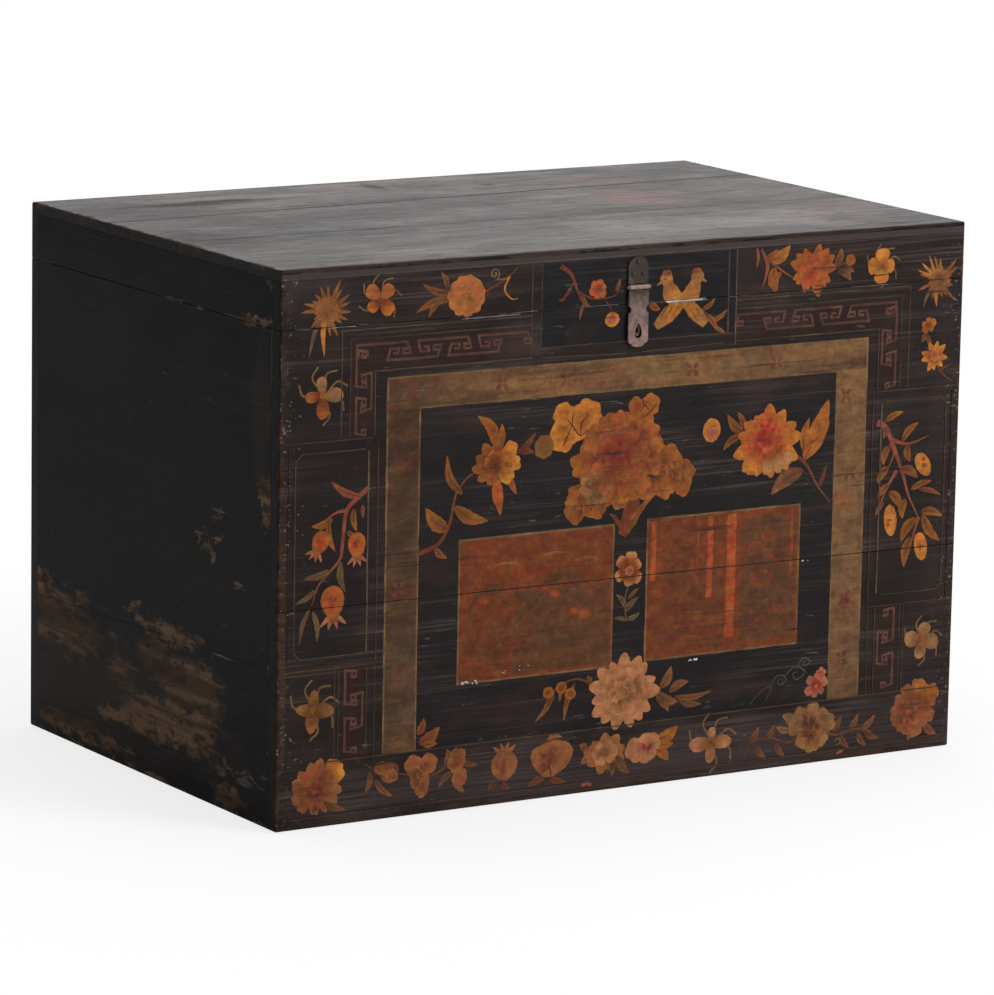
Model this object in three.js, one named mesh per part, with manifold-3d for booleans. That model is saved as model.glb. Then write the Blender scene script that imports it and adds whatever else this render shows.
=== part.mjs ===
// A painted wooden storage chest: a case of edge-joined boards under a cap lid, with two iron butt hinges
// behind and an iron hasp in front. Millimetres. X runs along the front, Y from front to back, Z up.

import * as THREE from "three";
import { mergeVertices } from "three/addons/utils/BufferGeometryUtils.js";
import { RoundedBoxGeometry } from "three/addons/geometries/RoundedBoxGeometry.js";
import Module from "manifold-3d";

const wasm = await Module();
wasm.setup();

// The chest's overall sizes
const WIDTH = 900;
const DEPTH = 582;
const HEIGHT = 616;
const LID_HEIGHT = 65; // top face down to the opening seam
const SEAM_GAP = 0.8; // daylight between the case's rim and the lid's rails

// The boards
const WALL = 18; // case boards and lid rails
const TOP_THICKNESS = 12;
const FLOOR_THICKNESS = 14;
const RABBET = 9; // how far the floor runs into the walls
const ARRIS_RADIUS = 2.4; // outside edges, rounded by wear
const ARRIS_STEPS = 2;
const FIT_GAP = 0.35; // between pieces that touch
const TONGUE_HEIGHT = 5;
const WALL_TONGUE = 6; // thickness of the tongues along the walls' seams
const PLANK_TONGUE = 4; // and along those of the floor and the top

// Where boards meet: heights at a wall's two ends, or places from the lid's back edge at its left and right
const FRONT_SEAM = [244, 240];
const BACK_SEAM = [286, 297];
const LEFT_FOOT_SEAM = [51, 33]; // the left wall's lowest board tapers, as a strip sawn from a log does
const LEFT_SEAM = [178, 160];
const RIGHT_SEAM = [262, 276];
const REAR_PLANK = [188, 142];
const MIDDLE_PLANK_END = [350, 353];
const FRONT_FLOOR_PLANK = 198; // widths; the rear plank takes what is left
const MIDDLE_FLOOR_PLANK = 186;

// Stub tenons on the side boards, housed in the front and back boards
const TENON_THICKNESS = 6;
const TENON_LENGTH = 10;
const TENON_HEIGHT = 36;
const TENON_PITCH = 120;
const TENON_SHOULDER = 6; // wood left above and below a tenon

// Battens that slide into dovetail grooves under the lid
const BATTEN_WIDTH = 34;
const BATTEN_DEPTH = 15;
const BATTEN_EASE = 4; // chamfer on its lower edges
const BATTEN_INSET = 207; // from the chest's ends to a batten's middle
const DOVETAIL_ROOT = 16;
const DOVETAIL_TOP = 22;
const DOVETAIL_DEPTH = 4;

// Iron butt hinges on the back
const HINGE_INSET = 180; // from the chest's ends to a hinge's middle
const HINGE_WIDTH = 58;
const HINGE_LEAF_THICKNESS = 2;
const HINGE_BARREL_RADIUS = 4;
const HINGE_PIN_RADIUS = 1.8;
const CASE_LEAF_HEIGHT = 46;
const LID_LEAF_HEIGHT = 42;
const LEAF_CORNER = 9; // clipped corners of a leaf
const LEAF_NAIL_EDGE = 9.5; // from a leaf's edges to its nails
const LEAF_NAIL_ROW = 17; // from the hinge's axis to the nearer nails
const HINGE_KNUCKLES = 3;
const KNUCKLE_GAP = 0.5;
const PIN_HEAD = 1.6; // how far a pin's upset ends stand out of the barrel
const PIN_HEAD_FLARE = 1.6; // the upset ends' radius over the pin's

// The hasp on the front
const HASP_X = 2.5; // the smith set it a little to the right of the middle
const HASP_WIDTH = 26;
const HASP_AXIS_DROP = 46; // below the chest's top
const HASP_LEAF_HEIGHT = 34;
const HASP_NAIL_EDGE = 6.4;
const HASP_NAIL_ROW = 14.5; // from the axis to the nearer nails
const HASP_THICKNESS = 2;
const HASP_BARREL_RADIUS = 3.2;
const HASP_PIN_RADIUS = 1.2;
const STRAP_LENGTH = 67; // below the axis
const WAIST_DROP = 25; // axis down to the strap's waist
const WAIST_RADIUS = 4.2;
const WAIST_DEPTH = 3.4;
const STRAP_CORNER = 5;
const TOE_WIDTH = 17; // the lip at the strap's foot
const TOE_DROP = 3.5;
const SLOT_DROP = 49; // axis down to the slot's middle
const SLOT_WIDTH = 9.5;
const SLOT_HEIGHT = 17;
const SLOT_SHOULDER = 7; // how far its round sides carry up towards the point

// The staple's eye, hammered flat on the board behind the slot
const EYE_WIDTH = 7.2;
const EYE_HEIGHT = 12.5;
const EYE_WIRE_RADIUS = 0.85;
const STAPLE_LEG_WIDTH = 3;
const STAPLE_LEG_LENGTH = 15;

// Forged nails
const NAIL_HEAD_RADIUS = 3.6;
const NAIL_HEAD_HEIGHT = 1.5;
const NAIL_SHANK = 2.2; // the square shank's side under the head
const NAIL_POINT = 0.9;
const NAIL_LENGTH = 15;
const HEAD_SINK = 0.4; // how far the shank is forged into the head
const HASP_NAIL_SCALE = 0.8;

// Sizes that follow from the ones above
const SEAM_HEIGHT = HEIGHT - LID_HEIGHT;
const RIM = SEAM_HEIGHT - SEAM_GAP / 2;
const LID_BASE = SEAM_HEIGHT + SEAM_GAP / 2;
const FRONT = -DEPTH / 2;
const BACK = DEPTH / 2;
const SIDE_START = FRONT + WALL + FIT_GAP;
const SIDE_END = BACK - WALL - FIT_GAP;
const RAIL_TOP = HEIGHT - TOP_THICKNESS - FIT_GAP;
const PLANK_BASE = HEIGHT - TOP_THICKNESS;
const RABBET_TOP = FLOOR_THICKNESS + FIT_GAP;
const HINGE_AXIS = new THREE.Vector3(0, BACK + FIT_GAP + HINGE_BARREL_RADIUS, SEAM_HEIGHT);
const HASP_AXIS = new THREE.Vector3(
  HASP_X,
  FRONT - FIT_GAP - HASP_BARREL_RADIUS,
  HEIGHT - HASP_AXIS_DROP,
);
const BACK_PROUD = FIT_GAP + 2 * HINGE_BARREL_RADIUS;
const FRONT_PROUD = FIT_GAP + 2 * HASP_BARREL_RADIUS;
const PAST = 1; // how far a cutter runs past the face that it opens

const lacquer = new THREE.MeshStandardMaterial({ color: 0x17171a, roughness: 0.5, metalness: 0 });
const paintedLacquer = new THREE.MeshStandardMaterial({ color: 0x241c1b, roughness: 0.5, metalness: 0 });
const wornTop = new THREE.MeshStandardMaterial({ color: 0x4a4544, roughness: 0.42, metalness: 0 });
const bareWood = new THREE.MeshStandardMaterial({ color: 0x8a6a48, roughness: 0.8, metalness: 0 });
const iron = new THREE.MeshStandardMaterial({ color: 0x5a4c48, roughness: 0.55, metalness: 0.85 });

// A closed three.js geometry as a solid
function solidOf(geometry) {
  const bare = geometry.index ? geometry.toNonIndexed() : geometry.clone();
  bare.deleteAttribute("normal");
  bare.deleteAttribute("uv");
  const merged = mergeVertices(bare, 1e-4);
  return new wasm.Manifold(
    new wasm.Mesh({
      numProp: 3,
      vertProperties: merged.attributes.position.array,
      triVerts: new Uint32Array(merged.index.array),
    }),
  );
}

// A solid as a named mesh
function meshOf(name, solid, material) {
  const { vertProperties, triVerts } = solid.getMesh();
  const geometry = new THREE.BufferGeometry();
  geometry.setAttribute("position", new THREE.BufferAttribute(vertProperties, 3));
  geometry.setIndex(new THREE.BufferAttribute(triVerts, 1));
  geometry.computeVertexNormals();
  const mesh = new THREE.Mesh(geometry, material);
  mesh.name = name;
  return mesh;
}

function box([x0, x1], [y0, y1], [z0, z1]) {
  const geometry = new THREE.BoxGeometry(x1 - x0, y1 - y0, z1 - z0);
  geometry.translate((x0 + x1) / 2, (y0 + y1) / 2, (z0 + z1) / 2);
  return solidOf(geometry);
}

// A round bar along X or Y, centred on a point
function bar(axis, centre, radius, length, sides = 20) {
  const geometry = new THREE.CylinderGeometry(radius, radius, length, sides);
  if (axis === "x") geometry.rotateZ(-Math.PI / 2);
  geometry.translate(centre.x, centre.y, centre.z);
  return solidOf(geometry);
}

const X = new THREE.Vector3(1, 0, 0);
const Y = new THREE.Vector3(0, 1, 0);
const Z = new THREE.Vector3(0, 0, 1);
// Each plane's two drawing directions and the way that a slab grows from it
const PLANES = { front: [X, Z, Y.clone().negate()], side: [Y, Z, X], top: [X, Y, Z] };

// An outline drawn in a plane, with its thickness between two places along the plane's normal
function slab(plane, outline, from, to) {
  const shape = Array.isArray(outline)
    ? new THREE.Shape(outline.map(([u, v]) => new THREE.Vector2(u, v)))
    : outline;
  const geometry = new THREE.ExtrudeGeometry(shape, {
    depth: to - from,
    bevelEnabled: false,
    curveSegments: 8,
  });
  geometry.applyMatrix4(new THREE.Matrix4().makeBasis(...PLANES[plane]));
  const start = { front: [0, to, 0], side: [from, 0, 0], top: [0, 0, from] }[plane];
  geometry.translate(...start);
  return solidOf(geometry);
}

// A strip between two lines that run from u[0] to u[1]
function strip([u0, u1], [low0, low1], [high0, high1]) {
  return [[u0, low0], [u1, low1], [u1, high1], [u0, high0]];
}

const raised = (line, by) => line.map((value) => value + by);
const widened = ([low, high], by) => [low - by, high + by];

// A panel of boards, split along its seams: each board but the last has a tongue, and the next one its groove
function boards({ plane, u, v, seams, from, to, tongue: tongueThickness }) {
  const middle = (from + to) / 2;
  const cheeks = [middle - tongueThickness / 2, middle + tongueThickness / 2];
  const edges = [[v[0], v[0]], ...seams, [v[1], v[1]]];
  const past = [u[0] - PAST, u[1] + PAST];
  return edges.slice(1).map((upper, index) => {
    const first = index === 0;
    const last = index === seams.length;
    const low = raised(edges[index], first ? 0 : FIT_GAP / 2);
    const high = raised(upper, last ? 0 : -FIT_GAP / 2);
    let board = slab(plane, strip(u, low, high), from, to);
    if (!first) {
      const groove = strip(past, raised(low, -PAST), raised(low, TONGUE_HEIGHT));
      board = board.subtract(slab(plane, groove, ...widened(cheeks, FIT_GAP)));
    }
    if (!last) {
      const tongue = strip(u, raised(high, -PAST), raised(high, TONGUE_HEIGHT));
      board = board.add(slab(plane, tongue, ...cheeks));
    }
    return board;
  });
}

// The heights that a board's stub tenons take up between two levels, as [bottom, top] pairs
function tenonHeights(bottom, top) {
  const count = Math.max(1, Math.round((top - bottom) / TENON_PITCH));
  const share = (top - bottom) / count;
  const height = Math.min(TENON_HEIGHT, share - 2 * TENON_SHOULDER);
  return Array.from({ length: count }, (_, i) => {
    const centre = bottom + share * (i + 0.5);
    return [centre - height / 2, centre + height / 2];
  });
}

// The worn outer skin: everything outside it is cut from the boards' arrises
const wornBlock = solidOf(
  new RoundedBoxGeometry(WIDTH, DEPTH, HEIGHT, ARRIS_STEPS, ARRIS_RADIUS).translate(0, 0, HEIGHT / 2),
);
const worn = (solid) => solid.intersect(wornBlock);

// One side of the chest: a stack of boards with stub tenons at both ends, none of them below lowest.
// Returns the boards and the mortises that the front and back walls need.
function sideStack(side, levels, seams, lowest) {
  const outer = side === "left" ? -WIDTH / 2 : WIDTH / 2 - WALL;
  const thickness = [outer, outer + WALL];
  const centre = outer + WALL / 2;
  const cheeks = [centre - TENON_THICKNESS / 2, centre + TENON_THICKNESS / 2];
  const ends = [
    { wall: "front", run: [SIDE_START - TENON_LENGTH, SIDE_START + PAST] },
    { wall: "back", run: [SIDE_END - PAST, SIDE_END + TENON_LENGTH] },
  ];
  const edges = [[levels[0], levels[0]], ...seams, [levels[1], levels[1]]];
  const mortises = { front: [], back: [] };
  const stack = boards({
    plane: "side",
    u: [SIDE_START, SIDE_END],
    v: levels,
    seams,
    from: thickness[0],
    to: thickness[1],
    tongue: WALL_TONGUE,
  });
  const jointed = stack.map((board, index) => {
    const tenons = ends.flatMap(({ wall, run }, end) => {
      const bottom = Math.max(edges[index][end], lowest);
      const heights = tenonHeights(bottom, edges[index + 1][end]);
      mortises[wall].push(
        ...heights.map((pair) => box(...[cheeks, run, pair].map((range) => widened(range, FIT_GAP)))),
      );
      return heights.map((pair) => box(cheeks, run, pair));
    });
    return tenons.reduce((solid, tenon) => solid.add(tenon), board);
  });
  return { boards: jointed, mortises };
}

const cutAll = (solid, cutters) => cutters.reduce((rest, cutter) => rest.subtract(cutter), solid);

// Nails
function nail(scale = 1) {
  const radius = NAIL_HEAD_RADIUS * scale;
  const steps = 4;
  const dome = Array.from({ length: steps + 1 }, (_, i) => {
    const angle = (i / steps) * (Math.PI / 2);
    return new THREE.Vector2(radius * Math.cos(angle), NAIL_HEAD_HEIGHT * scale * Math.sin(angle));
  });
  dome[steps].x = 0;
  const head = new THREE.LatheGeometry([new THREE.Vector2(0, 0), ...dome], 12);
  const corner = Math.SQRT1_2;
  const length = NAIL_LENGTH * scale;
  const shank = new THREE.CylinderGeometry(NAIL_SHANK * corner * scale, NAIL_POINT * corner * scale, length, 4);
  shank.rotateY(Math.PI / 4);
  shank.translate(0, -length / 2 + HEAD_SINK, 0);
  return solidOf(head).add(solidOf(shank));
}

// A nail's clearance hole in metal and wood, along Y
function nailHole(point, scale = 1) {
  const radius = NAIL_SHANK * Math.SQRT1_2 * scale + FIT_GAP;
  return bar("y", point, radius, 2 * NAIL_LENGTH * scale + 2 * FIT_GAP, 10);
}

// A nail driven into the front (facing -Y) or the back (facing +Y), with its head seated on the metal
function drivenNail(name, point, facing, scale = 1) {
  const mesh = meshOf(name, nail(scale), iron);
  mesh.position.copy(point);
  if (facing === "front") mesh.rotation.x = Math.PI;
  return mesh;
}

// A hinge leaf's barrel: the knuckles numbered in own, each with the tab that joins it to its leaf
function knuckles({ width, count, own, radius, bore, tab, reach }) {
  const pitch = width / count;
  return own
    .map((index) => {
      const left = -width / 2 + index * pitch + (index ? KNUCKLE_GAP / 2 : 0);
      const right = -width / 2 + (index + 1) * pitch - (index < count - 1 ? KNUCKLE_GAP / 2 : 0);
      const centre = new THREE.Vector3((left + right) / 2, 0, 0);
      return box([left, right], tab, reach).add(bar("x", centre, radius, right - left));
    })
    .reduce((all, knuckle) => all.add(knuckle))
    .subtract(bar("x", new THREE.Vector3(), bore, width + 2 * PAST, 16));
}

// A pin with upset ends, along X through the origin
function pin(radius, width) {
  const shank = bar("x", new THREE.Vector3(), radius, width + 2 * FIT_GAP + PIN_HEAD, 16);
  return [-1, 1].reduce((solid, side) => {
    const x = side * (width / 2 + FIT_GAP + PIN_HEAD / 2);
    return solid.add(bar("x", new THREE.Vector3(x, 0, 0), radius * PIN_HEAD_FLARE, PIN_HEAD, 12));
  }, shank);
}

// A butt hinge's leaf, with its axis at the origin and its plate up (sign 1) or down (sign -1)
function hingeLeaf(sign, height, own) {
  const near = HINGE_BARREL_RADIUS + KNUCKLE_GAP;
  const half = HINGE_WIDTH / 2;
  const plate = [
    [-half, sign * near],
    [half, sign * near],
    [half, sign * (height - LEAF_CORNER)],
    [half - LEAF_CORNER, sign * height],
    [-half + LEAF_CORNER, sign * height],
    [-half, sign * (height - LEAF_CORNER)],
  ];
  const thickness = [-HINGE_BARREL_RADIUS, -HINGE_BARREL_RADIUS + HINGE_LEAF_THICKNESS];
  const leaf = slab("front", plate, ...thickness);
  const reach = [0, sign * (near + PAST)].sort((a, b) => a - b);
  const barrel = knuckles({
    width: HINGE_WIDTH,
    count: HINGE_KNUCKLES,
    own,
    radius: HINGE_BARREL_RADIUS,
    bore: HINGE_PIN_RADIUS + FIT_GAP,
    tab: thickness,
    reach,
  });
  return cutAll(leaf.add(barrel), leafNails(sign, height).map((point) => nailHole(point)));
}

// Where a hinge leaf's three nails go
function leafNails(sign, height) {
  const y = -HINGE_BARREL_RADIUS + HINGE_LEAF_THICKNESS + FIT_GAP;
  const x = HINGE_WIDTH / 2 - LEAF_NAIL_EDGE;
  const near = sign * LEAF_NAIL_ROW;
  const far = sign * (height - LEAF_NAIL_EDGE);
  return [[-x, near], [x, near], [0, far]].map(([across, z]) => new THREE.Vector3(across, y, z));
}

// One hinge's pieces, and the holes that its nails need in the boards behind it
function hinge(side) {
  const place = WIDTH / 2 - HINGE_INSET;
  const centre = HINGE_AXIS.clone().setX(side === "left" ? -place : place);
  const all = Array.from({ length: HINGE_KNUCKLES }, (_, i) => i);
  const parts = { case: new THREE.Group(), lid: new THREE.Group(), holes: [] };
  const leaves = [
    { body: "case", sign: -1, height: CASE_LEAF_HEIGHT, own: all.filter((i) => i % 2 === 0) },
    { body: "lid", sign: 1, height: LID_LEAF_HEIGHT, own: all.filter((i) => i % 2 === 1) },
  ];
  for (const { body, sign, height, own } of leaves) {
    parts[body].add(meshOf(`${body}_hinge_leaf_${side}`, hingeLeaf(sign, height, own), iron));
    leafNails(sign, height).forEach((point, i) => {
      parts[body].add(drivenNail(`${body}_hinge_nail_${side}_${i + 1}`, point, "back"));
      parts.holes.push(nailHole(point.clone().add(centre)));
    });
    parts[body].position.copy(centre);
  }
  parts.case.add(meshOf(`hinge_pin_${side}`, pin(HINGE_PIN_RADIUS, HINGE_WIDTH), iron));
  return parts;
}

// The hasp: a leaf nailed to the lid and a slotted strap, both drawn round their common axis
const HASP_LEAF_BACK = HASP_BARREL_RADIUS; // the leaf's wood side, measured from the axis
const haspNear = HASP_BARREL_RADIUS + KNUCKLE_GAP;

function haspNails() {
  const y = HASP_LEAF_BACK - HASP_THICKNESS - FIT_GAP;
  const x = HASP_WIDTH / 2 - HASP_NAIL_EDGE;
  const far = HASP_LEAF_HEIGHT - HASP_NAIL_EDGE;
  return [[-x, HASP_NAIL_ROW], [x, HASP_NAIL_ROW], [0, far]].map(
    ([across, z]) => new THREE.Vector3(across, y, z),
  );
}

function haspLeaf() {
  const half = HASP_WIDTH / 2;
  const plate = new THREE.Shape();
  plate.moveTo(-half, haspNear);
  plate.lineTo(half, haspNear);
  plate.lineTo(half, HASP_LEAF_HEIGHT - half);
  plate.absarc(0, HASP_LEAF_HEIGHT - half, half, 0, Math.PI, false);
  const thickness = [HASP_LEAF_BACK - HASP_THICKNESS, HASP_LEAF_BACK];
  const barrel = knuckles({
    width: HASP_WIDTH,
    count: 3,
    own: [0, 2],
    radius: HASP_BARREL_RADIUS,
    bore: HASP_PIN_RADIUS + FIT_GAP,
    tab: thickness,
    reach: [0, haspNear + PAST],
  });
  const holes = haspNails().map((point) => nailHole(point, HASP_NAIL_SCALE));
  return cutAll(slab("front", plate, ...thickness).add(barrel), holes);
}

// The strap's outline: parallel sides pinched at the waist, rounded shoulders and a narrow toe
function strapOutline() {
  const half = HASP_WIDTH / 2;
  const waist = -WAIST_DROP;
  const foot = -STRAP_LENGTH + TOE_DROP;
  const reach = Math.acos((WAIST_RADIUS - WAIST_DEPTH) / WAIST_RADIUS);
  const rise = WAIST_RADIUS * Math.sin(reach);
  const centre = half + WAIST_RADIUS - WAIST_DEPTH;
  const outline = new THREE.Shape();
  outline.moveTo(half, -haspNear);
  outline.lineTo(half, waist + rise);
  outline.absarc(centre, waist, WAIST_RADIUS, Math.PI - reach, Math.PI + reach, false);
  outline.lineTo(half, foot + STRAP_CORNER);
  outline.absarc(half - STRAP_CORNER, foot + STRAP_CORNER, STRAP_CORNER, 0, -Math.PI / 2, true);
  outline.lineTo(TOE_WIDTH / 2, foot);
  outline.quadraticCurveTo(TOE_WIDTH / 2, -STRAP_LENGTH, 0, -STRAP_LENGTH);
  outline.quadraticCurveTo(-TOE_WIDTH / 2, -STRAP_LENGTH, -TOE_WIDTH / 2, foot);
  outline.absarc(-half + STRAP_CORNER, foot + STRAP_CORNER, STRAP_CORNER, -Math.PI / 2, -Math.PI, true);
  outline.lineTo(-half, waist - rise);
  outline.absarc(-centre, waist, WAIST_RADIUS, -reach, reach, false);
  outline.lineTo(-half, -haspNear);
  return outline;
}

// The slot: round at the foot and drawn to a soft point above
function slotOutline() {
  const radius = SLOT_WIDTH / 2;
  const low = -SLOT_DROP - SLOT_HEIGHT / 2 + radius;
  const slot = new THREE.Shape();
  slot.absarc(0, low, radius, Math.PI, 2 * Math.PI, false);
  slot.quadraticCurveTo(radius, low + SLOT_SHOULDER, 0, -SLOT_DROP + SLOT_HEIGHT / 2);
  slot.quadraticCurveTo(-radius, low + SLOT_SHOULDER, -radius, low);
  return slot;
}

function haspStrap() {
  const half = HASP_THICKNESS / 2;
  const barrel = knuckles({
    width: HASP_WIDTH,
    count: 3,
    own: [1],
    radius: HASP_BARREL_RADIUS,
    bore: HASP_PIN_RADIUS + FIT_GAP,
    tab: [-half, half],
    reach: [-haspNear - PAST, 0],
  });
  return slab("front", strapOutline(), -half, half)
    .add(barrel)
    .subtract(slab("front", slotOutline(), -half - PAST, half + PAST));
}

// The staple: a wire eye lying on the board under the slot, and its doubled leg through the board
const EYE_CENTRE = new THREE.Vector3(HASP_X, FRONT, HASP_AXIS.z - SLOT_DROP);

function stapleLeg(gap = 0) {
  const half = STAPLE_LEG_WIDTH / 2 + gap;
  const top = EYE_HEIGHT / 2 - EYE_WIRE_RADIUS;
  return box(
    [-half, half],
    [-FIT_GAP - EYE_WIRE_RADIUS, STAPLE_LEG_LENGTH + gap],
    [top - EYE_WIRE_RADIUS - gap, top + EYE_WIRE_RADIUS + gap],
  );
}

function staple() {
  const ring = EYE_WIDTH / 2 - EYE_WIRE_RADIUS;
  const eye = new THREE.TorusGeometry(ring, EYE_WIRE_RADIUS, 8, 20);
  eye.scale(1, (EYE_HEIGHT / 2 - EYE_WIRE_RADIUS) / ring, 1);
  eye.rotateX(Math.PI / 2);
  eye.translate(0, -FIT_GAP - EYE_WIRE_RADIUS, 0);
  return solidOf(eye).add(stapleLeg());
}

// The case's walls and floor
const rabbet = box(
  [-WIDTH / 2 + WALL - RABBET, WIDTH / 2 - WALL + RABBET],
  [FRONT + WALL - RABBET, BACK - WALL + RABBET],
  [-PAST, RABBET_TOP],
);
const hinges = { left: hinge("left"), right: hinge("right") };
const hingeHoles = [...hinges.left.holes, ...hinges.right.holes];
const leftWall = sideStack("left", [0, RIM], [LEFT_FOOT_SEAM, LEFT_SEAM], RABBET_TOP);
const rightWall = sideStack("right", [0, RIM], [RIGHT_SEAM], RABBET_TOP);

function endWall(face, seam, cutters) {
  const from = face === "front" ? FRONT : BACK - WALL;
  const u = [-WIDTH / 2, WIDTH / 2];
  const mortises = [...leftWall.mortises[face], ...rightWall.mortises[face]];
  const v = [0, RIM];
  const stack = boards({ plane: "front", u, v, seams: [seam], from, to: from + WALL, tongue: WALL_TONGUE });
  return stack.map((board) => cutAll(worn(board), [rabbet, ...mortises, ...cutters]));
}

const stapleHole = stapleLeg(FIT_GAP).translate(EYE_CENTRE.toArray());
const frontBoards = endWall("front", FRONT_SEAM, [stapleHole]);
const backBoards = endWall("back", BACK_SEAM, hingeHoles);

function floorPlanks() {
  const x = WIDTH / 2 - WALL + RABBET - FIT_GAP;
  const y = DEPTH / 2 - WALL + RABBET - FIT_GAP;
  const near = -y + FRONT_FLOOR_PLANK;
  const far = near + MIDDLE_FLOOR_PLANK;
  return boards({
    plane: "top",
    u: [-x, x],
    v: [-y, y],
    seams: [[near, near], [far, far]],
    from: 0,
    to: FLOOR_THICKNESS,
    tongue: PLANK_TONGUE,
  });
}

// The lid's rails, battens and top planks
const leftRail = sideStack("left", [LID_BASE, RAIL_TOP], [], LID_BASE);
const rightRail = sideStack("right", [LID_BASE, RAIL_TOP], [], LID_BASE);
const haspHoles = haspNails().map((point) => nailHole(point.clone().add(HASP_AXIS), HASP_NAIL_SCALE));

function lidRail(face, cutters) {
  const from = face === "front" ? FRONT : BACK - WALL;
  const rail = box([-WIDTH / 2, WIDTH / 2], [from, from + WALL], [LID_BASE, RAIL_TOP]);
  const mortises = [...leftRail.mortises[face], ...rightRail.mortises[face]];
  return cutAll(worn(rail), [...mortises, ...cutters]);
}

// A dovetail key's section, from where it leaves the batten up to its wide top, grown by a gap
function dovetailKey(gap) {
  const shoulder = PLANK_BASE - FIT_GAP;
  const flare = (DOVETAIL_TOP - DOVETAIL_ROOT) / 2 / DOVETAIL_DEPTH;
  const side = gap * Math.hypot(1, flare);
  const halfWidth = (height) => DOVETAIL_ROOT / 2 + flare * height + side;
  const [low, high] = [-PAST, DOVETAIL_DEPTH + gap];
  return [
    [-halfWidth(low), shoulder + low],
    [halfWidth(low), shoulder + low],
    [halfWidth(high), shoulder + high],
    [-halfWidth(high), shoulder + high],
  ];
}

function batten(x) {
  const half = BATTEN_WIDTH / 2;
  const shoulder = PLANK_BASE - FIT_GAP;
  const foot = shoulder - BATTEN_DEPTH;
  const section = [
    [-half, shoulder],
    [-half, foot + BATTEN_EASE],
    [-half + BATTEN_EASE, foot],
    [half - BATTEN_EASE, foot],
    [half, foot + BATTEN_EASE],
    [half, shoulder],
  ];
  return slab("front", section, SIDE_START, SIDE_END)
    .add(slab("front", dovetailKey(0), SIDE_START, SIDE_END))
    .translate([x, 0, 0]);
}

function battenGroove(x) {
  return slab("front", dovetailKey(FIT_GAP), ...widened([SIDE_START, SIDE_END], FIT_GAP)).translate([x, 0, 0]);
}

const battenPlaces = [BATTEN_INSET - WIDTH / 2, WIDTH / 2 - BATTEN_INSET];

function topPlanks() {
  const seams = [MIDDLE_PLANK_END, REAR_PLANK].map((line) => line.map((from) => BACK - from));
  const planks = boards({
    plane: "top",
    u: [-WIDTH / 2, WIDTH / 2],
    v: [FRONT, BACK],
    seams,
    from: PLANK_BASE,
    to: HEIGHT,
    tongue: PLANK_TONGUE,
  });
  return planks.map((plank) => cutAll(worn(plank), battenPlaces.map(battenGroove)));
}

// A group that turns about a point while its pieces keep the chest's own coordinates
function pivot(point) {
  const turning = new THREE.Group();
  turning.position.copy(point);
  const content = new THREE.Group();
  content.position.copy(point).negate();
  turning.add(content);
  return { turning, content };
}

const chest = new THREE.Group();
chest.position.y = (FRONT_PROUD - BACK_PROUD) / 2; // centres the hardware's reach on the origin

const caseGroup = new THREE.Group();
caseGroup.add(
  meshOf("front_board_lower", frontBoards[0], paintedLacquer),
  meshOf("front_board_upper", frontBoards[1], paintedLacquer),
  meshOf("back_board_lower", backBoards[0], lacquer),
  meshOf("back_board_upper", backBoards[1], lacquer),
);
["left_board_foot", "left_board_lower", "left_board_upper"].forEach((name, i) =>
  caseGroup.add(meshOf(name, cutAll(worn(leftWall.boards[i]), [rabbet]), lacquer)),
);
["right_board_lower", "right_board_upper"].forEach((name, i) =>
  caseGroup.add(meshOf(name, cutAll(worn(rightWall.boards[i]), [rabbet]), lacquer)),
);
const floor = floorPlanks();
["front", "middle", "rear"].forEach((name, i) =>
  caseGroup.add(meshOf(`floor_plank_${name}`, floor[i], bareWood)),
);
const stapleMesh = meshOf("hasp_staple", staple(), iron);
stapleMesh.position.copy(EYE_CENTRE);
caseGroup.add(stapleMesh, hinges.left.case, hinges.right.case);

const lid = pivot(HINGE_AXIS);
const planks = topPlanks();
["front", "middle", "rear"].forEach((name, i) =>
  lid.content.add(meshOf(`top_plank_${name}`, planks[i], wornTop)),
);
lid.content.add(
  meshOf("lid_front_rail", lidRail("front", haspHoles), paintedLacquer),
  meshOf("lid_back_rail", lidRail("back", hingeHoles), lacquer),
  meshOf("lid_left_rail", worn(leftRail.boards[0]), lacquer),
  meshOf("lid_right_rail", worn(rightRail.boards[0]), lacquer),
  meshOf("lid_batten_left", batten(battenPlaces[0]), bareWood),
  meshOf("lid_batten_right", batten(battenPlaces[1]), bareWood),
  hinges.left.lid,
  hinges.right.lid,
);

const haspGroup = new THREE.Group();
haspGroup.position.copy(HASP_AXIS);
haspGroup.add(
  meshOf("hasp_leaf", haspLeaf(), iron),
  meshOf("hasp_pin", pin(HASP_PIN_RADIUS, HASP_WIDTH), iron),
  meshOf("hasp_strap", haspStrap(), iron),
);
haspNails().forEach((point, i) =>
  haspGroup.add(drivenNail(`hasp_nail_${i + 1}`, point, "front", HASP_NAIL_SCALE)),
);
lid.content.add(haspGroup);

chest.add(caseGroup, lid.turning);

export default chest;
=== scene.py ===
"""A painted wooden chest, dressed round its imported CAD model.

The boards and the ironwork keep their CAD shapes and take aged lacquer, bare wood and forged iron. The painting
on the front lies on the boards as thin slabs of paint, cut at the lid's seam so that its upper part rises with
the lid. The painting is laid out in millimetres from the front's upper left corner, across and then down.
Everything else is in metres.
"""

import logging
import math
from dataclasses import dataclass, field
from enum import Enum

import bmesh
import bpy
import numpy as np
from mathutils import Matrix, Vector


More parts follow.
